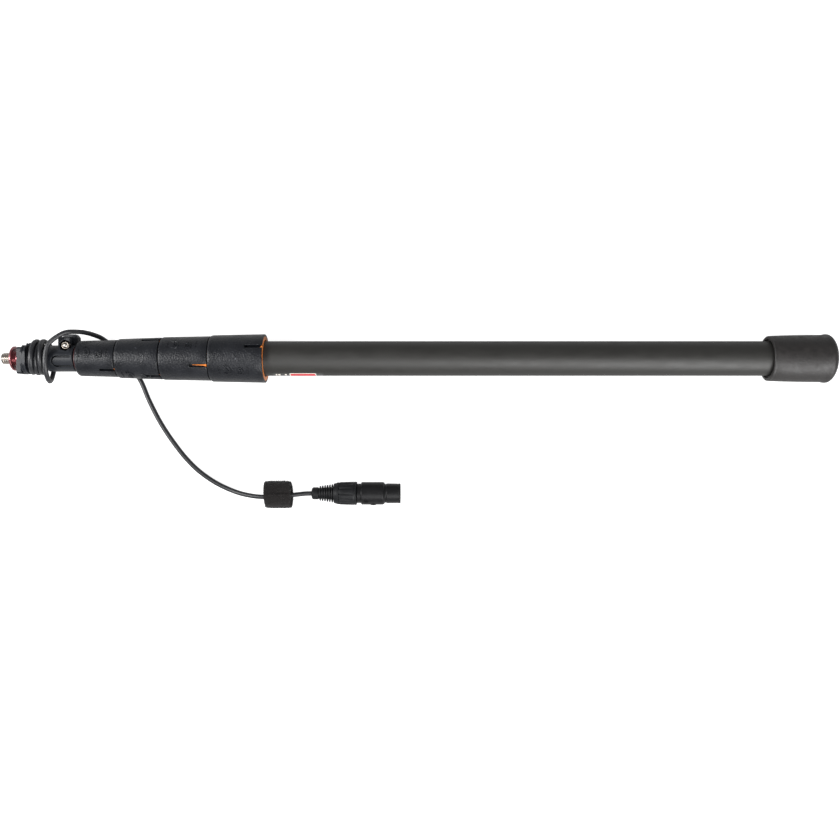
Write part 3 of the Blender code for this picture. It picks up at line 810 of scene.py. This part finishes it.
# %% Stud
turned_steel = grained("turned_stainless_steel", "#aca7a0", "#cbc6bf", 6.0, 0.6, 0.002, 0.24, 0.04, 1.0)
THREAD_COLUMNS = 230
THREAD_STRIPS = 49
CREST_SHARE, ROOT_SHARE = 0.06, 0.42  # of the pitch, measured from the middle of a crest
NOSE = 1.1  # how far the stud's end is chamfered, in millimetres
STEEP = 1000.0  # closes the two ends in the first and last column
stud_start, stud_end, stud_radius = span("tip_stud")
stud_values = {
    "Start": stud_start * MM,
    "Length": (stud_end - stud_start) * MM,
    "Radius": stud_radius * MM,
    "Pitch": 25.4 / 16 * MM,
    "Depth": 1.25 * MM,
    "Axis Height": AXIS * MM,
    "Material": turned_steel,
}
thread_tree, given = start_tree("rolled_thread", stud_values)
flat = {"Size X": given["Length"], "Size Y": 1.0}
flat |= {"Vertices X": THREAD_COLUMNS, "Vertices Y": THREAD_STRIPS}
grid = add_node(thread_tree, "GeometryNodeMeshGrid", flat).outputs["Mesh"]
place = add_node(thread_tree, "GeometryNodeInputPosition").outputs[0]
parts = add_node(thread_tree, "ShaderNodeSeparateXYZ", {0: place}).outputs
thread = partial(maths, thread_tree)
walk = thread("ADD", parts["X"], thread("MULTIPLY", given["Length"], 0.5))
phase = thread("ADD", thread("DIVIDE", walk, given["Pitch"]), parts["Y"])
fold = thread("ABSOLUTE", thread("SUBTRACT", thread("FRACT", phase), 0.5))
flank = add_node(thread_tree, "ShaderNodeMapRange", {0: fold, 1: CREST_SHARE, 2: ROOT_SHARE}).outputs[0]
radius_now = thread("SUBTRACT", given["Radius"], thread("MULTIPLY", flank, given["Depth"]))
chamfer = thread("ADD", thread("SUBTRACT", given["Radius"], NOSE * MM), walk)
front_cap = thread("MULTIPLY", walk, STEEP)
rear_cap = thread("MULTIPLY", thread("SUBTRACT", given["Length"], walk), STEEP)
for limit in (chamfer, front_cap, rear_cap):
    radius_now = thread("MINIMUM", radius_now, limit)
angle_now = thread("MULTIPLY", parts["Y"], math.tau)
across = thread("MULTIPLY", thread("SINE", angle_now), radius_now)
up = thread("MULTIPLY_ADD", thread("COSINE", angle_now), radius_now, given["Axis Height"])
along = thread("ADD", given["Start"], walk)
rolled = add_node(thread_tree, "ShaderNodeCombineXYZ", {0: along, 1: across, 2: up}).outputs[0]
moved = add_node(thread_tree, "GeometryNodeSetPosition", {"Geometry": grid, "Position": rolled}).outputs[0]
seam = {"Geometry": moved, "Distance": 2e-6}
closed_up = add_node(thread_tree, "GeometryNodeMergeByDistance", seam).outputs[0]
end_tree(thread_tree, closed_up, given["Material"])
stud = grow(blank("threaded_stud"), thread_tree, stud_values)
fit(finish_mesh(stud, turned_steel, sharp=60.0), "tip", "stainless_steel", "tip_stud")

# %% [markdown]
# ## Seat disc, block and spool
# The microphone's mount closes on a red anodised disc. Behind it a block keyed to the stud stops it
# turning, and the spool's flange and hub carry the cord. These are simple shapes, so they are turned
# or drawn as outlines.

# %% Seat disc
# Anodised aluminium, dyed red: a metal whose colour is in its skin, brighter on the turned rim.
red_anodised = grained("red_anodised_aluminium", "#783a3e", "#904b50", 4.0, 0.6, 0.004, 0.28, 0.05, 0.8)
set_inputs(red_anodised, {"Coat Weight": 0.8, "Coat Roughness": 0.25})
disc_start, disc_end, disc_radius = span("tip_disc")
disc_back = disc_start + 2.4
disc_bore = stud_radius + 0.15
disc = [(disc_end, disc_bore + 0.8), (disc_back, disc_bore + 0.8), (disc_back, disc_radius - 0.9)]
disc += [(disc_back - 0.5, disc_radius), (disc_start + 0.9, disc_radius)]
disc += [(disc_start, disc_radius - 1.0), (disc_start, disc_bore), (disc_end, disc_bore)]
fit(lathe("seat_disc", rounded(disc, 0.2), red_anodised), "tip", "red_anodised", "tip_disc")

# %% Remeshed mouldings
# Glass-filled nylon, moulded: a fine dull skin, bluish where it takes the light.
tip_nylon = grained("black_glass_filled_nylon", "#111317", "#1d2025", 7.0, 0.9, 0.07, 0.42, 0.04)
set_inputs(tip_nylon, {"Specular IOR Level": 0.3})


def extruded(name, low, high):
    """A solid between two rings of as many points."""
    count = len(low)
    faces = [list(range(count)), list(range(2 * count - 1, count - 1, -1))]
    faces += [(i, (i + 1) % count, count + (i + 1) % count, count + i) for i in range(count)]
    return make_piece(name, [*low, *high], faces, tip_nylon)


def prism(name, profile, low, high):
    """A bar along X with a profile of (Y, height above the axis) points."""
    return extruded(name, *([(x, y, z + AXIS) for y, z in profile] for x in (low, high)))


def slab(name, corners, low, high):
    """An upright solid with (X, Y) corners, between two heights above the axis."""
    return extruded(name, *([(x, y, z + AXIS) for x, y in corners] for z in (low, high)))


def combine(piece, tool, operation):
    """Join a tool to a piece or cut it out, and remove the tool."""
    modifier = piece.modifiers.new(tool.name, "BOOLEAN")
    modifier.operation = operation
    modifier.solver = "EXACT"
    modifier.object = tool
    plain_mesh(piece)
    bpy.data.objects.remove(tool, do_unlink=True)


def melt(piece, voxel, rounds):
    """Remesh a piece evenly and let its edges flow, as a moulding's do."""
    remesh = piece.modifiers.new("even", "REMESH")
    remesh.mode = "VOXEL"
    remesh.voxel_size = voxel * MM
    relax = piece.modifiers.new("flow", "SMOOTH")
    relax.iterations = rounds
    plain_mesh(piece)
    return finish_mesh(piece, tip_nylon, sharp=80.0)


def rod(name, start, end, radius, sides=48):
    """A rod between two points given as X, Y and height above the axis."""
    start = Vector(start)
    end = Vector(end)
    along = (end - start).normalized()
    across = along.orthogonal().normalized()
    upright = along.cross(across)
    angles = [math.tau * i / sides for i in range(sides)]
    ring = [(across * math.cos(a) + upright * math.sin(a)) * radius for a in angles]
    lift = Vector((0, 0, AXIS))
    return extruded(name, *([centre + spot + lift for spot in ring] for centre in (start, end)))


# %% Block
block_start, block_end, _ = span("tip_block")
BLOCK_DROP = 1.7  # the block hangs a little towards -Y
BLOCK_CORNERS = [(10.6, 6.6), (9.4, 8.2), (-9.6, 8.2), (-10.8, 6.8)]
BLOCK_PROFILE = [(y - BLOCK_DROP, z) for y, z in BLOCK_CORNERS]
BLOCK_PROFILE += [(y, -z) for y, z in reversed(BLOCK_PROFILE)]
STEP_SCALE = 0.975  # the step at its rear is a little smaller
step_profile = [(y * STEP_SCALE, z * STEP_SCALE) for y, z in BLOCK_PROFILE]
block = prism("key_block", BLOCK_PROFILE, block_start, block_end)
combine(block, prism("block_step", step_profile, block_end - 1.9, block_end + 0.25), "UNION")
keyway = rod("block_bore", (block_start - 2, 0, 0), (block_end + 2, 0, 0), stud_radius + 0.2)
combine(block, keyway, "DIFFERENCE")
fit(melt(block, 0.3, 3), "tip", "tip_plastic", "tip_block")

# %% Spool
flange_start = span("tip_spool")[0]
hub_end = span("clamp_body")[0] - 0.3
spigot_end = span("tip_spool")[1]
spigot = span("tip_tube")[2] - TUBE_WALL - 0.3


def flat_sides(x, turn, radius):
    """Trim the flange flat above and below, and cut it back on the upper far side."""
    if radius < 11.4:
        return radius
    lean = math.radians(turn % 360)
    reach = min(radius, 11.4 / max(abs(math.cos(lean)), 0.001))
    return min(reach, 10.2 / math.sin(lean)) if 10 < turn % 360 < 92 else reach


socket_end = flange_start + 12.2
spool = [(spigot_end, spigot), (hub_end, spigot), (hub_end, 9.9), (hub_end - 1.5, 9.6)]
spool += [(hub_end - 4.0, GLAND_RADIUS), (flange_start + 4.0, GLAND_RADIUS)]
flange = [(3.9, 12.6), (2.2, 12.6), (2.1, 11.9), (1.6, 11.9), (1.5, 12.4), (0.0, 12.4)]
spool += [(flange_start + x, radius) for x, radius in flange]
spool += [(flange_start, stud_radius + 0.3), (socket_end, stud_radius + 0.3)]
spool += [(socket_end, 2.2), (spigot_end, 2.2)]
cord_spool = lathe("cord_spool", rounded(spool, 0.35), tip_nylon, shape=flat_sides)
fit(cord_spool, "tip", "tip_plastic", "tip_spool")

# %% [markdown]
# ## The clamp
# A split ring with two ears and a screw holds the spool's end on the tip tube. Its corners all run
# into one another, as in any moulding, so it is joined and cut from simple solids, remeshed evenly and
# relaxed until its edges flow. A U-shaped groove is sunk in its front.

# %% Clamp body
clamp_start, clamp_end, _ = span("clamp_body")
screw_low, screw_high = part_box("clamp_screw")
screw_x = (screw_low.x + screw_high.x) / 2 / MM
screw_y = (screw_low.y + screw_high.y) / 2 / MM
SLIT = 0.7
clamp_ring = [(clamp_end, CLAMP_RADIUS), (clamp_start, CLAMP_RADIUS), (clamp_start, 7.4), (clamp_end, 7.4)]
clamp = lathe("clamp", rounded(clamp_ring, 0.8), tip_nylon)
FRONT_EAR = [(6.0, SLIT), (17.0, SLIT), (17.0, 6.6), (15.8, 8.0), (9.0, 8.0), (3.2, 9.9), (3.2, 7.9)]
REAR_EAR = [(6.0, -SLIT), (19.5, -SLIT), (19.5, -6.0), (16.8, -8.0)]
REAR_EAR += [(9.0, -8.0), (3.2, -9.9), (3.2, -7.9)]
EAR_TRIM = [(-2.4, 20.2), (-0.6, 18.6), (0.6, 16.2), (3.0, 20.2)]  # X from the clamp's rear, and Y
SLIT_OUTLINE = [(2.0, -SLIT), (30.0, -SLIT), (30.0, SLIT), (2.0, SLIT)]


def screw_rod(name, low, high, radius, sides=48):
    """A rod on the screw's line, between two heights above the axis."""
    return rod(name, (screw_x, screw_y, low), (screw_x, screw_y, high), radius, sides)


combine(clamp, prism("front_ear", FRONT_EAR, clamp_start + 9.8, clamp_end - 3.0), "UNION")
combine(clamp, prism("rear_ear", REAR_EAR, clamp_start + 10.4, clamp_end + 0.2), "UNION")
trim = [(clamp_end + x, y) for x, y in EAR_TRIM]
combine(clamp, slab("ear_corner", trim, -9.0, -0.2), "DIFFERENCE")
combine(clamp, prism("slit", SLIT_OUTLINE, clamp_start - 2, clamp_end + 4), "DIFFERENCE")
combine(clamp, screw_rod("screw_hole", -12, 12, 2.2), "DIFFERENCE")
combine(clamp, screw_rod("nut_pocket", 4.4, 12, 4.7, 6), "DIFFERENCE")
combine(clamp, screw_rod("head_seat", -12, -4.0, 4.0), "DIFFERENCE")

# %% Clamp groove
# The groove is a string of short cutters along a U: straight in, half a circle, straight back.
GROOVE_HALF = 3.75
GROOVE_Y = -2.75
GROOVE_WIDTH = 1.15
GROOVE_DEPTH = 2.2
GROOVE_OVERLAP = 0.3
ABOVE_CLAMP = 13.0
groove_right = clamp_end - 2.1
groove_bend = clamp_start + 5.5 + GROOVE_HALF
groove_line = [(groove_right, GROOVE_Y + GROOVE_HALF)]
groove_line += [
    (groove_bend - GROOVE_HALF * math.sin(a), GROOVE_Y + GROOVE_HALF * math.cos(a))
    for a in (math.pi * i / 8 for i in range(9))
]
groove_line.append((groove_right, GROOVE_Y - GROOVE_HALF))
for number, (here, there) in enumerate(zip(groove_line, groove_line[1:])):
    along = (Vector(there) - Vector(here)).normalized()
    side = Vector((-along.y, along.x)) * GROOVE_WIDTH / 2
    start = Vector(here) - along * GROOVE_OVERLAP
    end = Vector(there) + along * GROOVE_OVERLAP
    corners = [start + side, start - side, end - side, end + side]
    off_axis = min(abs(here[1]), abs(there[1]))
    bottom = math.sqrt((CLAMP_RADIUS - GROOVE_DEPTH) ** 2 - off_axis**2)
    combine(clamp, slab(f"groove_{number}", corners, bottom, ABOVE_CLAMP), "DIFFERENCE")
fit(melt(clamp, 0.22, 3), "tip", "tip_plastic", "clamp_body")


# %% Clamp screw and nut
def round_screw(height, turn, radius):
    """A point at a height above the axis, round the screw's line."""
    angle = math.radians(turn)
    return (screw_x + radius * math.cos(angle), screw_y + radius * math.sin(angle), AXIS + height)


upright = partial(lathe, turns=48, place=round_screw)
polished_steel = grained("polished_stainless_steel", "#5f5a54", "#7d776f", 4.0, 0.6, 0.002, 0.3, 0.04, 1.0)
screw = [(7.9, 0.0), (7.8, 0.9), (7.5, 1.5), (7.0, 1.9), (6.6, 1.95), (-4.6, 1.95), (-4.6, 3.5), (-7.2, 3.5)]
screw += [(-7.6, 3.1), (-7.6, 1.5), (-6.2, 1.4), (-6.2, 0.0)]
fit(upright("clamp_bolt", screw, turned_steel, closed=False), "tip", "stainless_steel", "clamp_screw")
nut = [(7.0, 2.05), (7.1, 2.5), (6.9, 3.0), (6.4, 3.45), (5.0, 3.7), (4.7, 3.6), (4.7, 2.05)]
fit(upright("round_clamp_nut", nut, polished_steel), "tip", "stainless_steel", "clamp_nut")

# %% [markdown]
# ## The strap roll
# A strip of hook-and-loop tape is wound tight on the cord. It is a spiral sheet with a thickness, so
# its ends show the turns. The nap comes last: thousands of short fibres grown on its faces.

# %% Strap tape
loop_tape = grained("hook_and_loop_tape", "#070606", "#1f1c1b", 1.3, 0.7, 0.25, 0.9, 0.04)
set_inputs(loop_tape, {"Sheen Weight": 0.15, "Sheen Roughness": 0.5, "Specular IOR Level": 0.15})
roll_low, roll_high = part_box("strap_roll")
roll_start = roll_low.x / MM
roll_end = roll_high.x / MM
roll_y, roll_z = middle("strap_roll")
roll_y += 0.35  # the wound tape lies thicker on its far side
ROLL_OUTER = 11.35
ROLL_INNER = 2.3
TAPE = 1.15
TAPE_STEP = 1.28  # how far the radius grows in a turn
TAPE_END = 4.0  # degrees from the top to the tape's outer end
tape_turns = (ROLL_OUTER - TAPE / 2 - ROLL_INNER) / TAPE_STEP
STEPS_ROUND = 48
WIDTH_STEPS = 8
steps = round(tape_turns * STEPS_ROUND)


def on_tape(i, face, j):
    """A point of the wound tape. It leans and drifts a little, and its edges and end are thinner."""
    turned_by = 360 * i / STEPS_ROUND
    reach = ROLL_INNER + TAPE_STEP * turned_by / 360
    turn = TAPE_END + turned_by - 360 * steps / STEPS_ROUND
    lean = 0.6 * (reach / ROLL_OUTER) ** 2 * math.cos(math.radians(turn + 115))
    drift = 0.3 * math.sin(turned_by * 0.011) + lean
    w = j / WIDTH_STEPS
    edge = abs(2 * w - 1)
    thick = TAPE / 2 * (1 - 0.5 * edge**12) * min(1.0, 0.25 + (steps - i) / 10)
    x = roll_start + 0.7 + (roll_end - roll_start - 1.4) * w + drift
    r = reach + (thick if face else -thick) - 0.15 * edge**8
    return polar(x, turn, r, roll_y, roll_z)


tape = sheet("strap_tape", steps, WIDTH_STEPS, on_tape, loop_tape, sharp=50.0)
fit(tape, "tip", "strap_fabric", "strap_roll")

# %% Nap fibres
nap_values = {
    "Density": 4.2e6,
    "Fibre Length": 0.75 * MM,
    "Fibre Radius": 0.09 * MM,
    "Material": loop_tape,
}
nap_tree, given = start_tree("tape_nap", nap_values)
ground = {"Mesh": given["Geometry"], "Density": given["Density"], "Seed": 7}
scatter = add_node(nap_tree, "GeometryNodeDistributePointsOnFaces", ground).outputs
cone = {"Vertices": 3, "Radius Top": 0.0, "Radius Bottom": given["Fibre Radius"]}
cone["Depth"] = given["Fibre Length"]
fibre = add_node(nap_tree, "GeometryNodeMeshCone", cone).outputs["Mesh"]
limits = {0: (-0.9, -0.9, 0.0), 1: (0.9, 0.9, math.tau), "Seed": 11}
lean_by = add_node(nap_tree, "FunctionNodeRandomValue", limits, data_type="FLOAT_VECTOR").outputs[0]
turned = {"Rotation": scatter["Rotation"], "Rotate By": lean_by}
leaning = add_node(nap_tree, "FunctionNodeRotateRotation", turned, rotation_space="LOCAL").outputs[0]
sizes = add_node(nap_tree, "FunctionNodeRandomValue", {2: 0.6, 3: 1.3, "Seed": 5}, data_type="FLOAT")
fibres = instances(nap_tree, scatter["Points"], fibre, leaning, sizes.outputs[1])
end_tree(nap_tree, fibres, given["Material"])
nap = add_object("strap_nap", tape.data.copy())
shell = bmesh.new()
shell.from_mesh(nap.data)
hidden = []
for face in shell.faces:
    spot = face.calc_center_median() / MM
    reach = math.hypot(spot.y - roll_y, spot.z - roll_z)
    outside = reach > ROLL_OUTER - TAPE - 0.25
    at_end = min(spot.x - roll_start, roll_end - spot.x) < 2.2
    if not outside and not at_end:
        hidden.append(face)
bmesh.ops.delete(shell, geom=hidden, context="FACES")
shell.to_mesh(nap.data)
shell.free()
grow(nap, nap_tree, nap_values)
fit(nap, "tip", "strap_fabric")

# %% [markdown]
# ## The connector
# A three-contact line socket. A soft boot with fins grips the cord, a fluted bushing screws up on it,
# and a metal shell holds the insert with its three sleeves. The shell carries a small window, and a
# latch stands in a hole in it.

# %% Connector finishes
# Soft black nylon on the boot and bushing, and zinc plated black on the shell.
connector_nylon = grained("soft_black_nylon", "#0a0b0c", "#151618", 6.0, 0.8, 0.05, 0.46)
black_chrome = grained("black_plated_zinc", "#0c0c0d", "#1a1a1b", 4.0, 0.9, 0.06, 0.4, 0.06, 0.2)
for dull in (connector_nylon, black_chrome):
    set_inputs(dull, {"Specular IOR Level": 0.2})
gold_plate = grained("gold_plated_brass", "#c59a45", "#e6c173", 2.0, 0.4, 0.005, 0.22, 0.04, 1.0)
plug_start = span("connector_boot")[0]
plug_end = span("connector_shell")[1]
plug_y = middle("connector_bushing")[0]
plug_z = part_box("connector_bushing")[1].z / MM - span("connector_bushing")[2]
on_plug = partial(polar, y=plug_y, height=plug_z)

# %% Boot
FINS = 6
FIN_PITCH = 1.95
FIN_THICKNESS = 0.7
# X from the connector's rear end, and radius.
BOOT = [(22.0, 0.0), (22.0, 8.95), (20.4, 8.75), (20.3, 8.5), (17.9, 8.0), (17.8, 5.2), (5.6, 4.3)]
BOOT += [(5.2, 4.95), (1.2, 4.9), (0.0, 3.9), (0.0, 0.0)]
boot = rounded([(plug_start + x, radius) for x, radius in BOOT], 0.3, closed=False)
boot_core = lathe("connector_boot_core", boot, connector_nylon, closed=False, place=on_plug)
fit(boot_core, "tip", "connector_plastic", "connector_boot")

fin_values = {
    "Count": FINS,
    "Pitch": FIN_PITCH * MM,
    "Thickness": FIN_THICKNESS * MM,
    "First Radius": 6.1 * MM,
    "Growth": 0.28 * MM,
    "Place": Vector((plug_start + 7.1, plug_y, plug_z)) * MM,
    "Material": connector_nylon,
}
fin_tree, given = start_tree("boot_fins", fin_values)
pitch_step = add_node(fin_tree, "ShaderNodeCombineXYZ", {0: given["Pitch"]}).outputs[0]
fin_row = {"Count": given["Count"], "Start Location": given["Place"], "Offset": pitch_step}
line = add_node(fin_tree, "GeometryNodeMeshLine", fin_row).outputs["Mesh"]
index = add_node(fin_tree, "GeometryNodeInputIndex").outputs[0]
wider = maths(fin_tree, "MULTIPLY_ADD", index, given["Growth"], given["First Radius"])
widths = add_node(fin_tree, "ShaderNodeCombineXYZ", {0: wider, 1: wider, 2: 1.0}).outputs[0]
plate = {"Vertices": 56, "Radius Top": 0.975, "Radius Bottom": 1.0, "Depth": given["Thickness"]}
fin = add_node(fin_tree, "GeometryNodeMeshCone", plate).outputs["Mesh"]
fins = instances(fin_tree, line, fin, (0.0, -math.pi / 2, 0.0), widths)
end_tree(fin_tree, fins, given["Material"])
boot_fins = grow(blank("connector_boot_fins"), fin_tree, fin_values)
fit(finish_mesh(boot_fins, connector_nylon), "tip", "connector_plastic")

# %% Bushing
FLUTES = 12


def fluted(x, turn, radius):
    """Shallow flutes that run out before the bushing's wide end."""
    if radius < 8.0:
        return radius
    along = (x - plug_start - 22.3) / 11.5
    if not 0.0 <= along <= 1.0:
        return radius
    wave = max(0.0, math.cos(math.radians(turn * FLUTES))) ** 2.0
    return radius - 0.55 * wave * min(1.0, 4 * (1 - along))


# X from the connector's rear end, and radius.
BUSHING = [(36.4, 0.0), (36.4, 9.0), (36.0, 9.42), (34.9, 9.42), (34.7, 9.2), (34.3, 9.4), (33.5, 9.38)]
BUSHING += [(31.5, 9.35), (29.0, 9.3), (26.0, 9.2), (23.4, 9.1), (22.4, 8.95), (22.2, 8.85), (22.2, 0.0)]
bushing = [(plug_start + x, radius) for x, radius in BUSHING]
turning = {"turns": 144, "shape": fluted, "closed": False, "place": on_plug}
bush = lathe("fluted_bushing", bushing, connector_nylon, **turning)
fit(bush, "tip", "connector_plastic", "connector_bushing")

# %% Shell
# X back from the connector's front end, and radius.
SHELL = [(0.0, 8.0), (1.6, 8.0), (1.7, 7.85), (11.0, 7.95), (11.4, 7.6), (12.7, 7.6), (12.9, 8.2)]
SHELL += [(14.0, 9.15), (31.2, 9.15), (31.7, 8.8), (31.8, 7.8), (35.1, 7.8), (35.1, 6.5), (0.0, 6.5)]
WINDOW_TURN = -38.0
WINDOW_HALF = 11.0  # degrees


def shell_window(x, turn, radius):
    """A sunk window of two panes, near the shell's rear on the near side."""
    back = plug_end - x
    near = abs(off_by(turn, WINDOW_TURN))
    pane = 26.4 < back < 29.0 and not 27.5 < back < 27.9
    return radius - 0.55 if radius >= 8.6 and pane and near < WINDOW_HALF else radius


shell_rings = rounded([(plug_end - back, radius) for back, radius in SHELL], 0.25)
extra = [plug_end - b for b in (26.35, 26.45, 27.45, 27.55, 27.85, 27.95, 28.95, 29.05)]
flat_index = max(i for i, p in enumerate(shell_rings) if p[0] > plug_end - 16.5 and p[1] > 9.0)
shell_rings[flat_index + 1 : flat_index + 1] = [(x, 9.15) for x in extra]
walls = [(WINDOW_TURN + side * (WINDOW_HALF + gap)) % 360 for side in (-1, 1) for gap in (-0.1, 0.1)]
turning = {"turns": sorted({*(360 * i / 96 for i in range(96)), *walls})}
casing = lathe("connector_casing", shell_rings, black_chrome, shape=shell_window, place=on_plug, **turning)
fit(casing, "tip", "connector_metal", "connector_shell")

# %% Latch
LATCH_TURN = -76.0
latch_centre = Vector(polar(plug_end - 22.0, LATCH_TURN, 9.0, plug_y, plug_z - AXIS))
latch_out = Vector(polar(0.0, LATCH_TURN, 1.0, height=0.0))
latch = rod("latch_button", latch_centre - latch_out, latch_centre + latch_out * 0.55, 2.1, 32)
fit(finish_mesh(latch, black_chrome), "tip", "connector_metal")

# %% Insert and contacts
insert_start, insert_end, _ = span("connector_insert")
CONTACT_TURNS = (60.0, 180.0, 300.0)
CONTACT_CIRCLE = 3.5
barrel = [(insert_end, 0.0), (insert_end, 6.1), (insert_start, 6.1), (insert_start, 0.0)]
barrel = rounded(barrel, 0.3, closed=False)
insert = lathe("contact_insert", barrel, connector_nylon, closed=False, place=on_plug)
for number, turn in enumerate(CONTACT_TURNS):
    mouth = Vector(polar(insert_end, turn, CONTACT_CIRCLE, plug_y, plug_z - AXIS))
    hole = rod(f"contact_hole_{number}", mouth + Vector((2, 0, 0)), mouth - Vector((9, 0, 0)), 1.3, 24)
    combine(insert, hole, "DIFFERENCE")
fit(finish_mesh(insert, connector_nylon), "tip", "connector_plastic", "connector_insert")
sleeve = [(0.8, 1.2), (8.8, 1.2), (8.8, 0.85), (0.8, 0.85)]
sleeve = rounded([(insert_end - back, radius) for back, radius in sleeve], 0.1)
for number, turn in enumerate(CONTACT_TURNS):
    _, contact_y, contact_z = on_plug(0.0, turn, CONTACT_CIRCLE)
    around = partial(polar, y=contact_y, height=contact_z)
    contact = lathe(f"contact_sleeve_{number + 1}", sleeve, gold_plate, turns=24, place=around)
    fit(contact, "tip", "contact_metal")

# %% [markdown]
# ## The label
# A printed label is wrapped low on the base tube: clear film, with a red panel in a cream border and
# a few pale bars. The bars stand for print. Nothing is written on it.

# %% Label
film_clear = grained("clear_label_film", "#1b1a19", "#242322", 8.0, 1.0, 0.004, 0.25, 0.03)
print_cream = grained("cream_print", "#c4beb4", "#d8d2c8", 3.0, 0.6, 0.004, 0.4, 0.03)
print_red = grained("red_print", "#a81a26", "#bf2530", 3.0, 0.6, 0.004, 0.4, 0.03)
label_radius = span("base_tube")[2]


def patch(name, ends, turns, lift, material):
    """A thin film wrapped on the base tube, with rounded corners."""
    columns = 24
    rows = 16

    def on_tube(i, side, j):
        u = i / columns
        corner = max(0.0, abs(2 * u - 1) - 0.9) / 0.1
        pull = 1 - 0.08 * corner**2
        turn = sum(turns) / 2 + (turns[1] - turns[0]) * (j / rows - 0.5) * pull
        x = ends[0] + (ends[1] - ends[0]) * u
        return polar(x, turn, label_radius + (-0.02 if side else lift))

    return fit(sheet(name, columns, rows, on_tube, material), "base", "label_film")


patch("label_film", (-117.0, -77.0), (-132.0, -58.0), 0.05, film_clear)
patch("label_border", (-103.6, -82.4), (-128.0, -61.0), 0.08, print_cream)
patch("label_panel", (-102.9, -83.1), (-125.5, -64.0), 0.11, print_red)
BARS = ((-114.6, -113.4), (-112.6, -110.9), (-107.2, -105.9))
for number, ends in enumerate(BARS):
    patch(f"label_bar_{number + 1}", ends, (-78.0, -66.0), 0.09, print_cream)

# %% [markdown]
# ## Finishes for the CAD pieces that stay
# The ferrules, collets, bushes, plug and gland keep their CAD shapes. They show only when a section
# is drawn out or from behind, and they still need real finishes.

# %% Finishes for kept nodes
acetal = grained("black_acetal", "#1c1d20", "#292a2e", 5.0, 0.8, 0.02, 0.36)
black_anodised = grained("black_anodised_aluminium", "#18181b", "#28282c", 3.0, 0.5, 0.012, 0.34, 0.05, 0.6)
KEPT = {"base_plug": black_anodised, "cord_gland": extruded_jacket}
for number in COLLARS:
    KEPT[f"ferrule_{number}"] = black_anodised
    KEPT[f"collet_{number}"] = acetal
    KEPT[f"section_{number + 1}_bush"] = acetal
for node_name, kept_finish in KEPT.items():
    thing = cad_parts[node_name]
    if not thing.data.materials:
        thing.data.materials.append(kept_finish)
    for material_slot in thing.material_slots:
        material_slot.material = kept_finish
print(len(KEPT), "CAD nodes refinished")

# %% [markdown]
# ## The cord's exit
# The cord is limp and lies loose. The first point of its path is where it leaves the gland in the spool.

# %% Cord facts
cord_exit = cord_path[0]
tuple(cord_exit)
